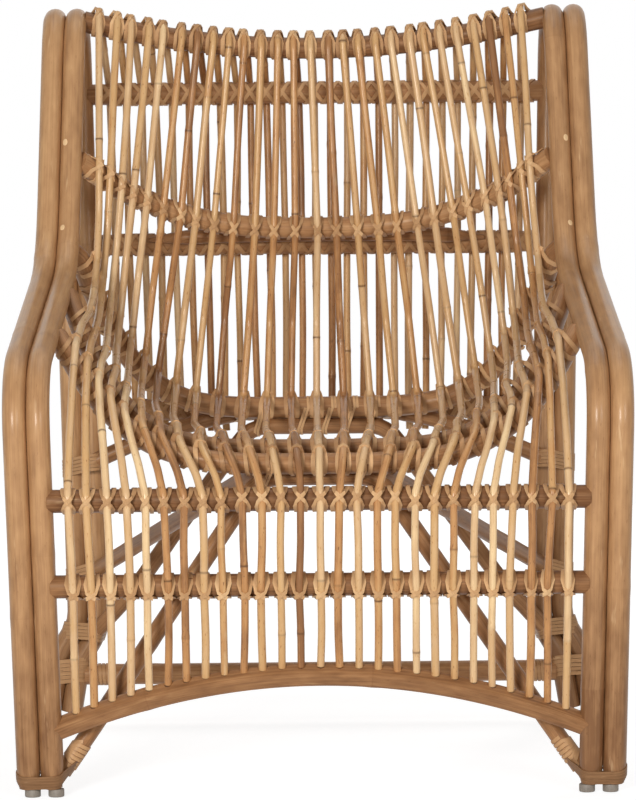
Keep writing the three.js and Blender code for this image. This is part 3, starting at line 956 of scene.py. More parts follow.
class Graph:
    """A node tree under construction."""

    NOISE_ROUGHNESS = 0.6

    def __init__(self, tree: bpy.types.NodeTree) -> None:
        """Keep the tree to build in."""
        self.tree = tree

    def add(
        self, kind: str, inputs: dict[str | int, object] | None = None, **settings: object
    ) -> bpy.types.Node:
        """Add a node.

        Args:
            kind: Type of the node.
            inputs: Values for its inputs, or the sockets to link to them.
            settings: Values for its own properties.

        Returns:
            The new node.
        """
        node = self.tree.nodes.new(kind)
        for key, value in settings.items():
            setattr(node, key, value)
        for key, value in (inputs or {}).items():
            if isinstance(value, Socket):
                self.tree.links.new(value, node.inputs[key])
            else:
                node.inputs[key].default_value = value
        return node

    def maths(self, operation: str, *values: object, clamp: bool = False) -> Socket:
        """Work out a value from one, two or three others."""
        node = self.add("ShaderNodeMath", dict(enumerate(values)), operation=operation, use_clamp=clamp)
        return node.outputs[0]

    def noise(self, vector: Socket, scale: Sequence[float], detail: float) -> Socket:
        """Noise drawn out along the skin by a scale for each direction."""
        mapping = self.add("ShaderNodeMapping", {"Vector": vector, "Scale": tuple(scale)})
        inputs = {"Vector": mapping.outputs[0], "Scale": 1.0, "Detail": detail}
        inputs["Roughness"] = self.NOISE_ROUGHNESS
        return self.add("ShaderNodeTexNoise", inputs).outputs["Fac"]

    def within(self, value: Socket, limits: tuple[float, float]) -> Socket:
        """Spread the values between two limits over 0 to 1."""
        inputs = {"Value": value, "From Min": limits[0], "From Max": limits[1]}
        return self.add("ShaderNodeMapRange", inputs).outputs[0]

    def mix(self, share: object, first: object, second: object) -> Socket:
        """Mix two colours."""
        inputs = {"Factor": share, 6: first, 7: second}
        return self.add("ShaderNodeMix", inputs, data_type="RGBA").outputs[2]

    def bump(self, height: Socket, strength: float, relief: float) -> Socket:
        """Turn heights into a relief of a depth in metres."""
        inputs = {"Height": height, "Strength": strength, "Distance": relief}
        return self.add("ShaderNodeBump", inputs).outputs[0]

    def surface(self, shader: bpy.types.Node, colour: Socket, rough: Socket, normal: Socket) -> None:
        """Link what changes over the surface to a shader."""
        for name, socket in {"Base Color": colour, "Roughness": rough, "Normal": normal}.items():
            self.tree.links.new(socket, shader.inputs[name])


def new_material(name: str) -> tuple[bpy.types.Material, Graph, bpy.types.Node]:
    """Start a material.

    Args:
        name: The material's name.

    Returns:
        The material, its graph and its shader.
    """
    material = bpy.data.materials.new(name)
    material.use_nodes = True
    return material, Graph(material.node_tree), material.node_tree.nodes["Principled BSDF"]


# The patterns of the skin: how fine they are round the stick and along it, and how much detail they have
FIBRES = ((1400.0, 16.0, 1.0), 3.0)
STREAKS = ((330.0, 6.0, 1.0), 2.0)
MOTTLING = ((70.0, 22.0, 1.0), 2.0)
FLECKS = ((520.0, 130.0, 1.0), 1.0)
RUBBING = ((88.0, 13.0, 1.0), 3.0)
FLECK_LIMITS = (0.66, 0.74)
BARE_LIMITS = (0.64, 0.72)
# the scar mask also carries the painted shadow at the canes' mouths, and these sharpen, sink and break it as
# they do the scars
SCAR_SHARPNESS = 1.6
SCAR_DEPTH = 2.5
SCAR_BREAKS = (0.9, 0.45)
MOTTLE_GLOSS = 0.3
FIBRE_GLOSS = 0.12


def rattan_skin() -> bpy.types.NodeTree:
    """Build the node group that all rattan shares: fibres, streaks, mottling, wear, growth scars, and the
    painted shadow where the canes leave their rail.

    Returns:
        The group. Its outputs are the shade from dark to light, the masks of scars with the painted shadow
        and of worn patches, the height and the gloss.
    """
    group = bpy.data.node_groups.new("rattan_skin", "ShaderNodeTree")
    for name in ("Fibre", "Streak", "Mottle", "Flecks", "Wear", "Marks"):
        group.interface.new_socket(name, in_out="INPUT", socket_type="NodeSocketFloat")
    for name in ("Shade", "Scar and shade", "Worn", "Height", "Gloss"):
        group.interface.new_socket(name, in_out="OUTPUT", socket_type="NodeSocketFloat")
    graph = Graph(group)
    given = graph.add("NodeGroupInput").outputs
    skin = graph.add("ShaderNodeUVMap", uv_map="UVMap").outputs[0]
    tone = graph.add("ShaderNodeAttribute", attribute_name="tone").outputs["Fac"]
    # growth scars, and on the canes the painted shadow at their mouths, read from the mesh
    marked = graph.add("ShaderNodeAttribute", attribute_name="scar_and_shade").outputs["Fac"]
    scar_and_shade = graph.maths("MULTIPLY", marked, given["Marks"])
    fibre = graph.noise(skin, *FIBRES)
    mottle = graph.noise(skin, *MOTTLING)
    changes = {"Fibre": fibre, "Streak": graph.noise(skin, *STREAKS), "Mottle": mottle}
    fibred, streaked, mottled = (
        graph.maths("MULTIPLY", graph.maths("SUBTRACT", noise, 0.5), given[name])
        for name, noise in changes.items()
    )
    flecked = graph.maths("MULTIPLY", graph.within(graph.noise(skin, *FLECKS), FLECK_LIMITS), given["Flecks"])
    bare = graph.within(graph.noise(skin, *RUBBING), BARE_LIMITS)
    shade = graph.maths("ADD", graph.maths("ADD", tone, fibred), graph.maths("ADD", streaked, mottled))
    broken = graph.maths("MULTIPLY_ADD", mottle, *SCAR_BREAKS)
    gloss = graph.maths("MULTIPLY", mottle, MOTTLE_GLOSS)
    outputs = {
        "Shade": graph.maths("SUBTRACT", shade, flecked, clamp=True),
        "Scar and shade": graph.maths("MULTIPLY", graph.maths("POWER", scar_and_shade, SCAR_SHARPNESS), broken, clamp=True),
        "Worn": graph.maths("MULTIPLY", bare, given["Wear"]),
        "Height": graph.maths("SUBTRACT", fibre, graph.maths("MULTIPLY", scar_and_shade, SCAR_DEPTH)),
        "Gloss": graph.maths("MULTIPLY_ADD", fibre, FIBRE_GLOSS, gloss),
    }
    graph.add("NodeGroupOutput", outputs)
    return group


@dataclass(frozen=True)
class RattanFinish:
    """Lacquered rattan: its shades from dark to light, and how its skin shows."""

    name: str
    shades: tuple[Colour, ...]
    scar_and_shade: Colour
    bare: Colour
    fibre: float
    streak: float
    mottle: float
    flecks: float
    wear: float
    marks: float
    roughness: float
    coat: float

    BUMP = 0.25
    RELIEF = 0.0004
    MEAN_GLOSS = 0.2
    COAT_ROUGHNESS = 0.18
    SPECULAR = 0.3
    SPECULAR_TINT = srgb(250, 226, 196)
    COAT_TINT = srgb(255, 246, 232)

    def build(self, skin: bpy.types.NodeTree) -> bpy.types.Material:
        """Build the material.

        Args:
            skin: The node group that all rattan shares.

        Returns:
            The material.
        """
        material, graph, shader = new_material(self.name)
        strengths = {
            "Fibre": self.fibre,
            "Streak": self.streak,
            "Mottle": self.mottle,
            "Flecks": self.flecks,
            "Wear": self.wear,
            "Marks": self.marks,
        }
        surface = graph.add("ShaderNodeGroup", strengths, node_tree=skin).outputs
        ramp = graph.add("ShaderNodeValToRGB", {"Fac": surface["Shade"]})
        stops = ramp.color_ramp.elements
        stops[0].color = self.shades[0]
        stops[1].color = self.shades[-1]
        for i, shade in enumerate(self.shades[1:-1], start=1):
            stops.new(i / (len(self.shades) - 1)).color = shade
        rubbed = graph.mix(surface["Worn"], ramp.outputs["Color"], self.bare)
        colour = graph.mix(surface["Scar and shade"], rubbed, self.scar_and_shade)
        rough = graph.maths("ADD", surface["Gloss"], self.roughness - self.MEAN_GLOSS)
        graph.surface(shader, colour, rough, graph.bump(surface["Height"], self.BUMP, self.RELIEF))
        shader.inputs["Coat Weight"].default_value = self.coat
        shader.inputs["Coat Roughness"].default_value = self.COAT_ROUGHNESS
        shader.inputs["Specular IOR Level"].default_value = self.SPECULAR
        shader.inputs["Specular Tint"].default_value = self.SPECULAR_TINT
        shader.inputs["Coat Tint"].default_value = self.COAT_TINT
        return material


@dataclass(frozen=True)
class GlideFinish:
    """Moulded grey of the glides, scuffed by the floor."""

    name: str
    dark: Colour
    pale: Colour
    roughness: float
    roughening: float

    SCUFFS = ((260.0, 260.0, 90.0), 3.0)
    BUMP = 0.15
    RELIEF = 0.0003

    def build(self) -> bpy.types.Material:
        """Build the material.

        Returns:
            The material.
        """
        material, graph, shader = new_material(self.name)
        scuffs = graph.noise(graph.add("ShaderNodeTexCoord").outputs["Object"], *self.SCUFFS)
        colour = graph.mix(scuffs, self.dark, self.pale)
        rough = graph.maths("MULTIPLY_ADD", scuffs, self.roughening, self.roughness)
        graph.surface(shader, colour, rough, graph.bump(scuffs, self.BUMP, self.RELIEF))
        return material


POLE_FINISH = RattanFinish(
    name="lacquered_pole",
    shades=(srgb(122, 84, 54), srgb(172, 130, 90), srgb(204, 162, 116)),
    scar_and_shade=srgb(142, 100, 64),
    bare=srgb(216, 182, 140),
    fibre=0.42,
    streak=0.55,
    mottle=0.8,
    flecks=0.15,
    wear=0.5,
    marks=0.25,
    roughness=0.38,
    coat=0.19,
)
RAIL_FINISH = RattanFinish(
    name="lacquered_rail",
    shades=(srgb(108, 70, 42), srgb(156, 112, 74), srgb(190, 146, 102)),
    scar_and_shade=srgb(112, 72, 42),
    bare=srgb(204, 166, 120),
    fibre=0.6,
    streak=0.8,
    mottle=0.9,
    flecks=0.15,
    wear=0.4,
    marks=0.5,
    roughness=0.42,
    coat=0.06,
)
CANE_FINISH = RattanFinish(
    name="lacquered_cane",
    shades=(
        srgb(136, 94, 60),
        srgb(184, 134, 86),
        srgb(202, 162, 112),
        srgb(208, 172, 130),
        srgb(230, 200, 154),
    ),
    # dark brown of the growth scars, also the colour of the painted shadow where each cane comes out of the
    # arched rail
    scar_and_shade=srgb(82, 50, 28),
    bare=srgb(232, 206, 164),
    fibre=0.4,
    streak=0.4,
    mottle=0.6,
    flecks=0.45,
    wear=0.3,
    marks=1.0,
    roughness=0.3,
    coat=0.24,
)
PEEL_FINISH = RattanFinish(
    name="rattan_peel",
    shades=(srgb(118, 84, 56), srgb(174, 132, 92), srgb(210, 168, 122), srgb(230, 196, 150)),
    scar_and_shade=srgb(120, 80, 48),
    bare=srgb(236, 208, 166),
    fibre=0.4,
    streak=0.2,
    mottle=0.3,
    flecks=0.2,
    wear=0.3,
    marks=0.0,
    roughness=0.46,
    coat=0.03,
)
GLIDE_FINISH = GlideFinish(
    name="moulded_glide",
    dark=srgb(104, 94, 84),
    pale=srgb(150, 140, 128),
    roughness=0.35,
    roughening=0.3,
)


# Sub-assemblies


@dataclass
class Workshop:
    """What every sub-assembly works with."""

    sticks: Sticks
    materials: dict[Slot, bpy.types.Material]
    chance: random.Random

    SKIN_LENGTH = 60.0

    def dress(self, piece: bpy.types.Object, slot: Slot, *replaced: str) -> None:
        """Give a piece its material and its body, and let it stand for nodes of the solid model.

        Args:
            piece: The finished piece.
            slot: Its material slot.
            replaced: Names of the nodes that it stands for.
        """
        piece.data.materials.clear()
        piece.data.materials.append(self.materials[slot])
        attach(piece, BODY)
        if replaced:
            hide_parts(*replaced)
        log.info("%s: %d faces", piece.name, len(piece.data.polygons))

    def skin_start(self) -> float:
        """Pick where on the skin pattern a piece starts, so that no two pieces look alike."""
        return self.chance.uniform(0.0, self.SKIN_LENGTH)


@dataclass
class SideFrames:
    """The two doubled side frames, each a pair of bent poles."""

    diameter: float = 0.0266
    step: float = 0.012
    corners: int = 20
    foot_paring: float = 0.26
    foot_reach: float = 0.016
    # painted shade: the poles are coloured darker toward the floor, where less light reaches them
    floor_shade: float = 0.4
    floor_reach: float = 0.34
    growth: Growth = Growth(
        spacing=(0.27, 0.4),
        swell=0.025,
        swell_reach=0.012,
        scar_reach=0.0014,
        tones=(0.42, 0.58),
        tone_change=0.05,
    )

    def build(self, shop: Workshop) -> dict[str, Route]:
        """Make the four poles.

        Args:
            shop: The workshop.

        Returns:
            The poles' centre lines by node.
        """
        routes = {}
        for name in (f"{pole}_pole" for pole in POLES):
            route = shop.sticks.pole(name, self.diameter)
            marked = self.growth.stations(route.length, self.diameter / 2, self.step, shop.chance)
            stations = [self._slimmed_with_painted_shade(station, route.at(station.along).z) for station in marked]
            stick = Stick(f"{name}_rattan", route, stations, self.corners, Y_AXIS, shop.skin_start())
            shop.dress(stick.build(), Slot.POLE, name)
            routes[name] = route
        return routes

    def _slimmed_with_painted_shade(self, station: Station, height: float) -> Station:
        """Slim a pole toward its front foot, and darken it toward the floor with painted shade."""
        slimmer = 1 - self.foot_paring * (1 - smooth_step(station.along / self.foot_reach))
        darker = self.floor_shade * (1 - smooth_step(height / self.floor_reach))
        return replace(station, radius=station.radius * slimmer, tone=station.tone - darker)


def squared_section(angle: float) -> float:
    """Section of a rail that is dressed almost square, with its top turned a little to the front."""
    power = 7.0
    fullness = 0.76
    turn = 33.75
    turned = angle - math.radians(turn)
    return fullness / (abs(math.cos(turned)) ** power + abs(math.sin(turned)) ** power) ** (1 / power)


class Shape(Enum):
    """How the centre line of a rail is read from the solid model."""

    HOOP = "hoop"
    RAIL = "rail"
    BRACE = "brace"


@dataclass(frozen=True)
class RailSpec:
    """One rail, hoop or brace: its node, how it runs, how thick it is and how much paler than the rest."""

    node: str
    shape: Shape
    diameter: float
    paler: float = 0.0


@dataclass
class Rails:
    """The hoops and rails that carry the canes, and the braces under them."""

    step: float = 0.012
    corners: int = 16
    growth: Growth = Growth(
        spacing=(0.2, 0.34),
        swell=0.03,
        swell_reach=0.012,
        scar_reach=0.0014,
        tones=(0.3, 0.6),
        tone_change=0.08,
    )
    arch_crown: float = 0.135
    arch_end: float = 0.075
    arch_diameter: float = 0.026
    arch_corners: int = 32
    arch_parts: int = 60
    spacer_diameter: float = 0.018
    spacer_tip: float = 0.006
    spacer_scarf: float = 0.045
    specs: tuple[RailSpec, ...] = (
        RailSpec("top_rail", Shape.HOOP, 0.026, -0.24),
        RailSpec("upper_back_hoop", Shape.HOOP, 0.026, 0.3),
        RailSpec("lower_back_hoop", Shape.HOOP, 0.026),
        RailSpec("seat_hoop", Shape.HOOP, 0.024),
        RailSpec("front_edge_hoop", Shape.HOOP, 0.024),
        RailSpec("front_upper_rail", Shape.RAIL, 0.026, -0.28),
        RailSpec("front_lower_rail", Shape.RAIL, 0.026, -0.24),
        RailSpec("upper_rear_rail", Shape.RAIL, 0.026),
        RailSpec("middle_rear_rail", Shape.RAIL, 0.026),
        RailSpec("lower_rear_rail", Shape.RAIL, 0.026),
        RailSpec("rear_stretcher", Shape.RAIL, 0.026),
        RailSpec("front_arch_brace", Shape.BRACE, 0.02),
        RailSpec("rear_arch_brace", Shape.BRACE, 0.02),
        RailSpec("seat_brace", Shape.BRACE, 0.02),
        RailSpec("lumbar_bow", Shape.BRACE, 0.02),
    )

    def build(self, shop: Workshop) -> dict[str, Route]:
        """Make all the rails, hoops and braces.

        Args:
            shop: The workshop.

        Returns:
            Their centre lines by node.
        """
        routes = {}
        for spec in self.specs:
            route = self._route(shop.sticks, spec)
            marked = self.growth.stations(route.length, spec.diameter / 2, self.step, shop.chance)
            stations = [replace(station, tone=station.tone + spec.paler) for station in marked]
            routes[spec.node] = self._make(shop, spec.node, route, stations, self.corners)
        routes["front_arch_rail"] = self._arch_rail(shop)
        routes["spacer_bow"] = self._spacer_bow(shop)
        return routes

    def _route(self, sticks: Sticks, spec: RailSpec) -> Route:
        """Read the centre line of one rail."""
        if spec.shape is Shape.HOOP:
            return sticks.hoop(spec.node)
        if spec.shape is Shape.RAIL:
            return sticks.rail(spec.node)
        return sticks.brace(spec.node, spec.diameter)

    def _make(
        self,
        shop: Workshop,
        node: str,
        route: Route,
        stations: list[Station],
        sides: int,
        section: Callable[[float], float] = round_section,
    ) -> Route:
        """Make one stick and hand back its centre line."""
        stick = Stick(f"{node}_rattan", route, stations, sides, Y_AXIS, shop.skin_start(), section)
        shop.dress(stick.build(), Slot.RAIL, node)
        return route

    def _arch_rail(self, shop: Workshop) -> Route:
        """Make the arched rail at the bottom of the front, which is dressed almost square."""
        low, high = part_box("front_arch_rail")
        depth = (low.y + high.y) / 2
        shares = [2 * k / self.arch_parts - 1 for k in range(self.arch_parts + 1)]
        rise = self.arch_crown - self.arch_end
        route = Route([Vector((high.x * s, depth, self.arch_crown - rise * s * s)) for s in shares])
        stations = self.growth.stations(route.length, self.arch_diameter / 2, self.step, shop.chance)
        return self._make(shop, "front_arch_rail", route, stations, self.arch_corners, squared_section)

    def _spacer_bow(self, shop: Workshop) -> Route:
        """Make the bow behind the upper back hoop, which is pared away at both ends."""
        route = shop.sticks.brace("spacer_bow", self.spacer_diameter)
        plain = self.growth.stations(route.length, self.spacer_diameter / 2, self.step, shop.chance)
        stations = [replace(station, radius=self._pared(station, route.length)) for station in plain]
        return self._make(shop, "spacer_bow", route, stations, self.corners)

    def _pared(self, station: Station, length: float) -> float:
        """Radius of the pared bow at one of its rings."""
        from_end = min(station.along, length - station.along)
        share = min(1.0, from_end / self.spacer_scarf)
        return self.spacer_tip / 2 + (station.radius - self.spacer_tip / 2) * share


@dataclass(frozen=True)
class LashSpec:
    """How the canes are tied along one rail.

    Where the canes go far round the rail, the facing is the side of it that the lashings lie on. The drift
    moves canes and lashings along the rail.
    """

    node: str
    kind: Lash
    rail_radius: float
    spreads: tuple[float, float, float, float]
    height: float
    tones: tuple[float, float]
    facing: Vector | None = None
    drift: float = 0.0


# How far to the side of a cane a strip passes the top of a rail, its upper and lower face and its bottom
HUGGING = (0.0052, 0.0061, 0.0062, 0.0054)
LEAF = (0.0062, 0.0046, 0.0058, 0.0052)
EVEN = (0.0062, 0.0056, 0.0056, 0.0062)
HIGH = (0.0066, 0.0056, 0.0061, 0.0046)
LOW = (0.0046, 0.0062, 0.0055, 0.0064)
CROSSED = (0.0125, 0.008, 0.008, 0.0125)
TOP_FRONT = Vector((0.0, -0.5, 0.87))


@dataclass
class CaneShell:
    """The long canes that make apron, seat and back, and the lashings that hold them."""

    count: int = 27
    diameter: float = 0.009
    step: float = 0.007
    corners: int = 10
    thickness_range: tuple[float, float] = (0.94, 1.06)
    wander: float = 0.0009
    unevenness: float = 0.002
    hole_depth: float = 0.009
    hole_search: float = 0.0005
    # painted shadow where a cane comes out of the arched rail: how far past the mouth it reaches, how it
    # fades and how dark it is
    rim: float = 0.0007
    rim_fade: float = 2.2
    rim_shade: float = 1.0
    growth: Growth = Growth(
        spacing=(0.16, 0.33),
        swell=0.08,
        swell_reach=0.006,
        scar_reach=0.0026,
        tones=(0.05, 0.84),
        tone_change=0.14,
    )
    peel: Peel = Peel(width=0.0045, thickness=0.0013)
    specs: tuple[LashSpec, ...] = (
        LashSpec("top_rail", Lash.CROSS, 0.013, LEAF, 0.0, (0.35, 0.7), TOP_FRONT, -0.005),
        LashSpec("upper_back_hoop", Lash.CROSS, 0.013, EVEN, 0.0, (0.4, 0.75)),
        LashSpec("lower_back_hoop", Lash.LOOP, 0.013, HUGGING, 0.008, (0.3, 0.65)),
        LashSpec("seat_hoop", Lash.LOOP, 0.012, HUGGING, 0.007, (0.3, 0.65)),
        LashSpec("front_edge_hoop", Lash.LOOP, 0.012, HUGGING, 0.007, (0.3, 0.7)),
        LashSpec("front_upper_rail", Lash.CROSS, 0.013, HIGH, 0.003, (0.4, 0.78)),
        LashSpec("front_lower_rail", Lash.CROSS, 0.013, LOW, -0.0065, (0.4, 0.78)),
        LashSpec("upper_rear_rail", Lash.CROSS, 0.013, CROSSED, 0.0, (0.42, 0.66)),
        LashSpec("middle_rear_rail", Lash.CROSS, 0.013, CROSSED, 0.0, (0.3, 0.55)),
        LashSpec("lower_rear_rail", Lash.CROSS, 0.013, CROSSED, 0.0, (0.3, 0.55)),
    )

    def build(self, shop: Workshop, rails: dict[str, Route]) -> None:
        """Make the canes and tie them to the rails.

        Args:
            shop: The workshop.
            rails: The rails' centre lines by node.
        """
        names = [f"cane_{i:02d}" for i in range(1, self.count + 1)]
        routes = {name: shop.sticks.cane(name, self.diameter) for name in names}
        crossings: dict[str, list[Crossing]] = {spec.node: [] for spec in self.specs}
        for name, route in routes.items():
            nudges = {0.0: 0.0, route.length: 0.0}
            for spec in self.specs:
                mark, crossing = find_crossing(route, rails[spec.node], spec.facing)
                nudges[mark] = spec.drift + shop.chance.uniform(-1, 1) * self.unevenness
                crossings[spec.node].append(crossing.moved(X_AXIS * nudges[mark]))
            cane = self._wandering(route, nudges, shop.chance)
            self._make_cane(shop, name, cane, rails["front_arch_rail"])
        for spec in self.specs:
            self._tie(shop, spec, crossings[spec.node])

    def _make_cane(self, shop: Workshop, name: str, route: Route, holder: Route) -> None:
        """Make one cane, with a painted shadow round it where it comes out of the rail that holds its end."""
        radius = self.diameter / 2 * shop.chance.uniform(*self.thickness_range)
        stations = self.growth.stations(route.length, radius, self.step, shop.chance)
        stations = self._shaded_at_mouth(stations, self._mouth(route, holder))
        stick = Stick(f"{name}_rattan", route, stations, self.corners, Y_AXIS, shop.skin_start())
        shop.dress(stick.build(), Slot.CANE, name)

    def _mouth(self, route: Route, holder: Route) -> float:
        """Find how far along a cane its hole in the rail ends."""
        mark = 0.0
        while (route.at(mark) - holder.at(holder.nearest(route.at(mark)))).length < self.hole_depth:
            mark += self.hole_search
        return mark

    def _shaded_at_mouth(self, stations: Sequence[Station], mouth: float) -> list[Station]:
        """Paint a shadow on a cane from its end up to its rim, where it comes out of its hole in the rail."""
        first = stations[0]
        rim = [
            Station(0.0, first.radius, self.rim_shade, first.tone),
            Station(mouth + self.rim, first.radius, self.rim_shade, first.tone),
            Station(mouth + self.rim * self.rim_fade, first.radius, 0.0, first.tone),
        ]
        return rim + [station for station in stations if station.along > rim[-1].along + self.rim]

    def _wandering(self, route: Route, nudges: dict[float, float], chance: random.Random) -> Route:
        """Move a cane to the sides, by its nudge where it is tied and freely in between."""
        stops = sorted(nudges)
        swings = [chance.uniform(-1, 1) * self.wander for _ in stops]
        points = []
        for mark, point in zip(route.marks, route.points):
            i = min(max(bisect_right(stops, mark), 1), len(stops) - 1)
            share = (mark - stops[i - 1]) / max(stops[i] - stops[i - 1], WELD)
            before, after = nudges[stops[i - 1]], nudges[stops[i]]
            nudge = before + (after - before) * share
            points.append(point + X_AXIS * (nudge + swings[i] * math.sin(math.pi * share) ** 2))
        return Route(points)

    def _tie(self, shop: Workshop, spec: LashSpec, crossings: Sequence[Crossing]) -> None:
        """Tie the canes to one rail."""
        wrapped = spec.facing is not None
        shape = LashShape(spec.rail_radius, self.diameter / 2, self.peel, spec.spreads, spec.height, wrapped)
        row = Lashings(f"{spec.node}_lashings", spec.kind, shape)
        shop.dress(row.tie(crossings, spec.tones, shop.chance), Slot.PEEL)


CROSSING_REACH = 0.006
FACING_PULL = 0.3
FACING_APPROACH = 0.025


def find_crossing(cane: Route, rail: Route, facing: Vector | None) -> tuple[float, Crossing]:
    """Find where a cane lies on a rail.

    Args:
        cane: The cane's centre line.
        rail: The rail's centre line.
        facing: Where the cane goes far round the rail, the side of the rail to look at.

    Returns:
        The distance along the cane, and the crossing there.
    """
    over = np.array([tuple(point) for point in cane.points])
    under = np.array([tuple(point) for point in rail.points])
    offsets = over[:, None, :] - under[None, :, :]
    costs = np.linalg.norm(offsets, axis=2)
    if facing is not None:
        costs = costs - FACING_PULL * (offsets @ np.array(tuple(facing)))
    i, k = np.unravel_index(np.argmin(costs), costs.shape)
    mark, place = cane.marks[i], rail.marks[k]
    along = rail.heading(place, CROSSING_REACH)
    upward = cane.heading(mark, CROSSING_REACH)
    offset = cane.points[i] - rail.points[k]
    outward = (offset - along * offset.dot(along)).normalized()
    if facing is not None:
        upward = (cane.at(mark) - cane.at(mark - FACING_APPROACH)).normalized()
        outward = (facing - along * facing.dot(along)).normalized()
    centre = rail.points[k] + along * offset.dot(along)
    return mark, Crossing(centre, along, upward, outward)


@dataclass(frozen=True)
class TieSpec:
    """Where a brace is tied to the hoop above it, in metres from the middle of both."""

    brace: str
    hoop: str
    hoop_radius: float
    places: tuple[float, ...]


@dataclass
class Bindings:
    """Peel wound round the legs, the ends of the braces and the places where braces meet hoops."""

    pole_radius: float = 0.013
    brace_radius: float = 0.01
    foot_paring: float = 0.0034
    brace_paring: float = 0.009
    slope: float = 0.009
    foot_turns: int = 7
    foot_lean: float = 0.36
    foot_margin: float = 0.002
    foot_gap: float = 0.0008
    end_turns: int = 5
    wrap_turns: int = 6
    wrap_gap: float = 0.001
    wrap_fan: float = 0.6
    brace_inset: float = 0.026
    stretcher_inset: float = 0.022
    tie_turns: int = 2
    foot_peel: Peel = Peel(width=0.0024, thickness=0.0014, tone=0.04)
    leg_peel: Peel = Peel(width=0.0046, thickness=0.001, tone=0.34)
    end_peel: Peel = Peel(width=0.0038, thickness=0.0009, tone=0.36)
    fan_peel: Peel = Peel(width=0.0042, thickness=0.0012, tone=0.42)
    tie_peel: Peel = Peel(width=0.003, thickness=0.0009, tone=0.6)
    ties: tuple[TieSpec, ...] = (
        TieSpec("rear_arch_brace", "lower_back_hoop", 0.013, (-0.066, -0.012, 0.018, 0.045, 0.072)),
        TieSpec("front_arch_brace", "front_edge_hoop", 0.012, (-0.052, 0.052)),
        TieSpec("seat_brace", "seat_hoop", 0.012, (-0.052, 0.052)),
        TieSpec("lumbar_bow", "lower_back_hoop", 0.013, (-0.092, 0.092)),
    )

    def build(self, shop: Workshop, poles: dict[str, Route], rails: dict[str, Route]) -> None:
        """Wind all the bindings.

        Args:
            shop: The workshop.
            poles: The poles' centre lines by node.
            rails: The rails' centre lines by node.
        """
        for side in SIDES:
            pair = poles[f"{side}_outer_pole"], poles[f"{side}_inner_pole"]
            self._front_foot(shop, side, pair, rails["front_arch_brace"])
            self._rear_leg(shop, side, pair)
            self._brace_ends(shop, side, pair, rails)
            self._wraps(shop, side, rails)
        self._ties(shop, rails)

    def _front_foot(self, shop: Workshop, side: str, pair: Sequence[Route], brace: Route) -> None:
        """Bind the two poles of a front foot and the end of the brace behind them."""
        node = f"front_{side}_foot_binding"
        low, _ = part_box(node)
        half = self.foot_turns * self.foot_peel.width / 2 + self.foot_margin
        marks = [route.at_height(low.z + half) for route in pair]
        cores = [Core(route.at(mark), self.pole_radius, self.foot_paring) for route, mark in zip(pair, marks)]
        axis = pair[0].heading(marks[0])
        last = brace.length if side == "right" else 0.0
        climb = brace.heading(last)
        slant = climb / climb.dot(axis) - axis
        cores.append(Core(brace.at(last), self.brace_radius, self.brace_paring, slant))
        winding = Winding(
            name=f"front_{side}_foot_peel",
            cores=cores,
            axis=axis,
            turns=self.foot_turns,
            peel=self.foot_peel,
            lean=Y_AXIS * self.foot_lean,
            gap=self.foot_gap,
        )
        shop.dress(winding.build(), Slot.PEEL, node)

    def _rear_leg(self, shop: Workshop, side: str, pair: Sequence[Route]) -> None:
        """Bind the two poles of a rear leg together beside the stretcher."""
        node = f"rear_{side}_foot_binding"
        low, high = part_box(node)
        marks = [route.at_height((low.z + high.z) / 2, from_end=True) for route in pair]
        cores = [Core(route.at(mark), self.pole_radius) for route, mark in zip(pair, marks)]
        turns = round((high.z - low.z) / self.leg_peel.width) - 1
        winding = Winding(f"rear_{side}_leg_peel", cores, -pair[0].heading(marks[0]), turns, self.leg_peel)
        shop.dress(winding.build(), Slot.PEEL, node)

    def _brace_ends(self, shop: Workshop, side: str, pair: Sequence[Route], rails: dict[str, Route]) -> None:
        """Bind the ends of the braces on one side to the two poles of the rear leg."""
        for node in ("rear_arch_brace", "seat_brace", "lumbar_bow"):
            end = rails[node].points[-1 if side == "right" else 0]
            cores = [Core(end, self.brace_radius)]
            for route, drop in zip(pair, (self.slope, 0.0)):
                cores.append(Core(route.at(route.nearest(end) + drop), self.pole_radius))
            axis = -pair[1].heading(pair[1].nearest(end))
            winding = Winding(f"{node}_{side}_binding", cores, axis, self.end_turns, self.end_peel)
            shop.dress(winding.build(), Slot.PEEL)

    def _wraps(self, shop: Workshop, side: str, rails: dict[str, Route]) -> None:
        """Wrap the front brace above the foot, and the rear stretcher beside the leg."""
        outward = X_AXIS if side == "right" else -X_AXIS
        for node, inset, radius, peel, fan in (
            ("front_arch_brace", self.brace_inset, self.brace_radius, self.fan_peel, outward * self.wrap_fan),
            ("rear_stretcher", self.stretcher_inset, self.pole_radius, self.end_peel, Vector()),
        ):
            route = rails[node]
            mark = route.length - inset if side == "right" else inset
            axis = route.heading(mark) * (1 if side == "right" else -1)
            winding = Winding(
                name=f"{node}_{side}_wrap",
                cores=[Core(route.at(mark), radius)],
                axis=axis,
                turns=self.wrap_turns,
                peel=peel,
                fan=fan,
                gap=self.wrap_gap,
            )
            shop.dress(winding.build(), Slot.PEEL)

    def _ties(self, shop: Workshop, rails: dict[str, Route]) -> None:
        """Tie the tops of the braces to the hoops above them with slanting strips."""
        for tie in self.ties:
            brace, hoop = rails[tie.brace], rails[tie.hoop]
            for k, place in enumerate(tie.places):
                low = brace.at(brace.length / 2 + place - self.slope)
                high = hoop.at(hoop.length / 2 + place)
                cores = [Core(low, self.brace_radius), Core(high, tie.hoop_radius)]
                winding = Winding(f"{tie.brace}_tie_{k}", cores, X_AXIS, self.tie_turns, self.tie_peel)
                shop.dress(winding.build(), Slot.PEEL)


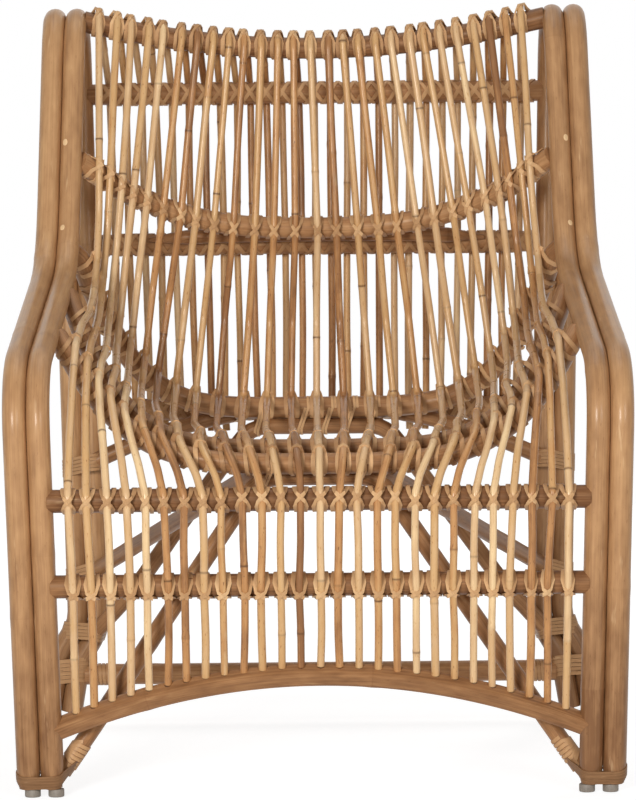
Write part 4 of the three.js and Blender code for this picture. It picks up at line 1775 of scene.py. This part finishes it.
@dataclass
class Trim:
    """Small fittings: the glides under the feet and the dowel plugs in the poles."""

    bevel: float = 0.0012
    bevel_segments: int = 3
    crease: float = 30.0
    glide_corners: int = 32
    plug_heights: tuple[float, ...] = (0.719, 0.612)
    plug_corners: int = 20
    plug_radius: float = 0.0036
    plug_length: float = 0.006
    plug_stretch: float = 1.25
    plug_proud: float = 0.0006
    plug_turn: float = 34.0
    plug_tone: float = 0.95
    pole_radius: float = 0.013

    def build(self, shop: Workshop, poles: dict[str, Route]) -> None:
        """Make the glides and the plugs.

        Args:
            shop: The workshop.
            poles: The poles' centre lines by node.
        """
        for end in ("front", "rear"):
            for pole in POLES:
                self._glide(shop, f"{end}_{pole}_glide")
        for side in SIDES:
            turn = -self.plug_turn if side == "left" else self.plug_turn
            for k, height in enumerate(self.plug_heights):
                self._plug(shop, f"{side}_dowel_plug_{k}", poles[f"{side}_inner_pole"], height, turn)

    def _glide(self, shop: Workshop, node: str) -> None:
        """Make one glide: a round pad with softened edges."""
        low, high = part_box(node)
        middle = (low + high) / 2
        bpy.ops.object.select_all(action="DESELECT")
        bpy.ops.mesh.primitive_cylinder_add(
            vertices=self.glide_corners,
            radius=(high.x - low.x) / 2,
            depth=high.z - low.z,
            location=middle,
        )
        piece = bpy.context.object
        piece.name = f"{node}_pad"
        bpy.ops.object.transform_apply(location=True, rotation=True, scale=True)
        self._soften(piece)
        shop.dress(piece, Slot.GLIDE, node)

    def _soften(self, piece: bpy.types.Object) -> None:
        """Round the edges of a round pad."""
        bevel = piece.modifiers.new("edges", "BEVEL")
        bevel.width = self.bevel
        bevel.segments = self.bevel_segments
        bevel.limit_method = "ANGLE"
        bpy.ops.object.modifier_apply(modifier=bevel.name)
        smooth_faces(piece, self.crease)

    def _plug(self, shop: Workshop, name: str, pole: Route, height: float, turn: float) -> None:
        """Set one dowel plug in the front of a pole, turned round the pole by some degrees."""
        mark = pole.at_height(height)
        heading = pole.heading(mark)
        outward = heading.cross(X_AXIS).normalized()
        turned = Matrix.Rotation(math.radians(turn), 3, heading)
        outward = turned @ (outward if outward.y < 0 else -outward)
        bpy.ops.object.select_all(action="DESELECT")
        bpy.ops.mesh.primitive_cylinder_add(
            vertices=self.plug_corners, radius=self.plug_radius, depth=self.plug_length
        )
        piece = bpy.context.object
        piece.name = name
        piece.scale = (1.0, self.plug_stretch, 1.0)
        bpy.ops.object.transform_apply(location=False, rotation=False, scale=True)
        side = heading.cross(outward).normalized()
        basis = Matrix((side, heading, outward)).transposed().to_4x4()
        reach = self.pole_radius + self.plug_proud - self.plug_length / 2
        piece.data.transform(Matrix.Translation(pole.at(mark) + outward * reach) @ basis)
        self._soften(piece)
        mark_plain(piece.data, self.plug_tone)
        shop.dress(piece, Slot.PEEL)


# Studio


@dataclass(frozen=True)
class Softbox:
    """A square lamp that looks at the chair."""

    name: str
    place: tuple[float, float, float]
    size: float
    watts: float
    glossy: bool = True

    def build(self, target: Vector) -> None:
        """Hang the lamp.

        Args:
            target: The point that it looks at.
        """
        bpy.ops.object.light_add(type="AREA", location=self.place)
        lamp = bpy.context.object
        lamp.name = self.name
        lamp.data.size = self.size
        lamp.data.energy = self.watts
        lamp.visible_glossy = self.glossy
        lamp.rotation_euler = (target - Vector(self.place)).to_track_quat("-Z", "Y").to_euler()


@dataclass(frozen=True)
class Studio:
    """A pale floor, soft light and the camera at the photograph's view."""

    eye: tuple[float, float, float] = (0.0, -4.987, 0.809)
    lens: float = 190.8
    pitch: float = 4.47
    roll: float = 0.55
    farthest: float = 100.0
    floor_size: float = 5.6
    floor_drop: float = 0.0005
    floor_glow: float = 0.83
    floor_shading: float = 0.36
    floor_bounce: float = 0.95
    target: tuple[float, float, float] = (0.0, 0.0, 0.45)
    world_strength: float = 0.12
    lamps: tuple[Softbox, ...] = (
        Softbox("key_softbox", (-1.3, -4.0, 1.3), 0.9, 118.0),
        Softbox("fill_softbox", (1.7, -3.4, 1.3), 1.2, 38.0),
        Softbox("top_softbox", (0.0, 0.2, 3.2), 1.6, 14.0),
        Softbox("rear_softbox", (0.7, 3.2, 2.2), 1.4, 50.0, glossy=False),
    )

    def build(self) -> None:
        """Set up the floor, the light and the camera."""
        self._floor()
        self._world()
        for lamp in self.lamps:
            lamp.build(Vector(self.target))
        self._camera()
        bpy.context.scene.view_settings.view_transform = "Standard"

    def _camera(self) -> None:
        """Set up the camera."""
        bpy.ops.object.camera_add(location=self.eye)
        camera = bpy.context.object
        camera.data.lens = self.lens
        camera.data.clip_end = self.farthest
        tilt = Matrix.Rotation(math.radians(90 - self.pitch), 3, "X")
        roll = Matrix.Rotation(math.radians(-self.roll), 3, "Z")
        camera.rotation_euler = (tilt @ roll).to_euler()
        bpy.context.scene.camera = camera

    def _floor(self) -> None:
        """Lay a floor that is seen as white where it is lit and still takes the chair's shadow."""
        bpy.ops.object.select_all(action="DESELECT")
        bpy.ops.mesh.primitive_plane_add(size=self.floor_size, location=(0.0, 0.0, -self.floor_drop))
        floor = bpy.context.object
        floor.name = "studio_floor"
        material = bpy.data.materials.new("studio_floor")
        material.use_nodes = True
        graph = Graph(material.node_tree)
        output = material.node_tree.nodes["Material Output"]
        glow = graph.add("ShaderNodeEmission", {"Color": grey(1.0), "Strength": self.floor_glow})
        shading = graph.add("ShaderNodeBsdfDiffuse", {"Color": grey(self.floor_shading)})
        shaded = graph.add("ShaderNodeAddShader", {0: glow.outputs[0], 1: shading.outputs[0]})
        matt = graph.add("ShaderNodeBsdfDiffuse", {"Color": grey(self.floor_bounce)})
        seen = self._seen(graph)
        mixed = graph.add("ShaderNodeMixShader", {0: seen, 1: matt.outputs[0], 2: shaded.outputs[0]})
        material.node_tree.links.new(mixed.outputs[0], output.inputs["Surface"])
        floor.data.materials.append(material)

    def _seen(self, graph: Graph) -> Socket:
        """Mask of the rays that show the background itself."""
        path = graph.add("ShaderNodeLightPath").outputs
        bent = graph.maths("MAXIMUM", path["Is Glossy Ray"], path["Is Transmission Ray"])
        return graph.maths("MAXIMUM", path["Is Camera Ray"], bent)

    def _world(self) -> None:
        """Surround the chair with soft light, seen as plain white."""
        world = bpy.data.worlds.new("studio_world")
        bpy.context.scene.world = world
        world.use_nodes = True
        graph = Graph(world.node_tree)
        background = world.node_tree.nodes["Background"]
        background.inputs["Color"].default_value = grey(1.0)
        lit = 1.0 - self.world_strength
        strength = graph.maths("MULTIPLY_ADD", self._seen(graph), lit, self.world_strength)
        world.node_tree.links.new(strength, background.inputs["Strength"])


def main() -> None:
    """Build the chair over its solid model, and the studio round it."""
    logging.basicConfig(level=logging.INFO, format="%(name)s: %(message)s")
    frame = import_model()
    skin = rattan_skin()
    finishes = {
        Slot.POLE: POLE_FINISH.build(skin),
        Slot.RAIL: RAIL_FINISH.build(skin),
        Slot.CANE: CANE_FINISH.build(skin),
        Slot.PEEL: PEEL_FINISH.build(skin),
        Slot.GLIDE: GLIDE_FINISH.build(),
    }
    shop = Workshop(Sticks(frame["nodes"]), finishes, random.Random(SEED))
    poles = SideFrames().build(shop)
    rails = Rails().build(shop)
    CaneShell().build(shop, rails)
    Bindings().build(shop, poles, rails)
    Trim().build(shop, poles)
    Studio().build()


if __name__ == "__main__":
    main()
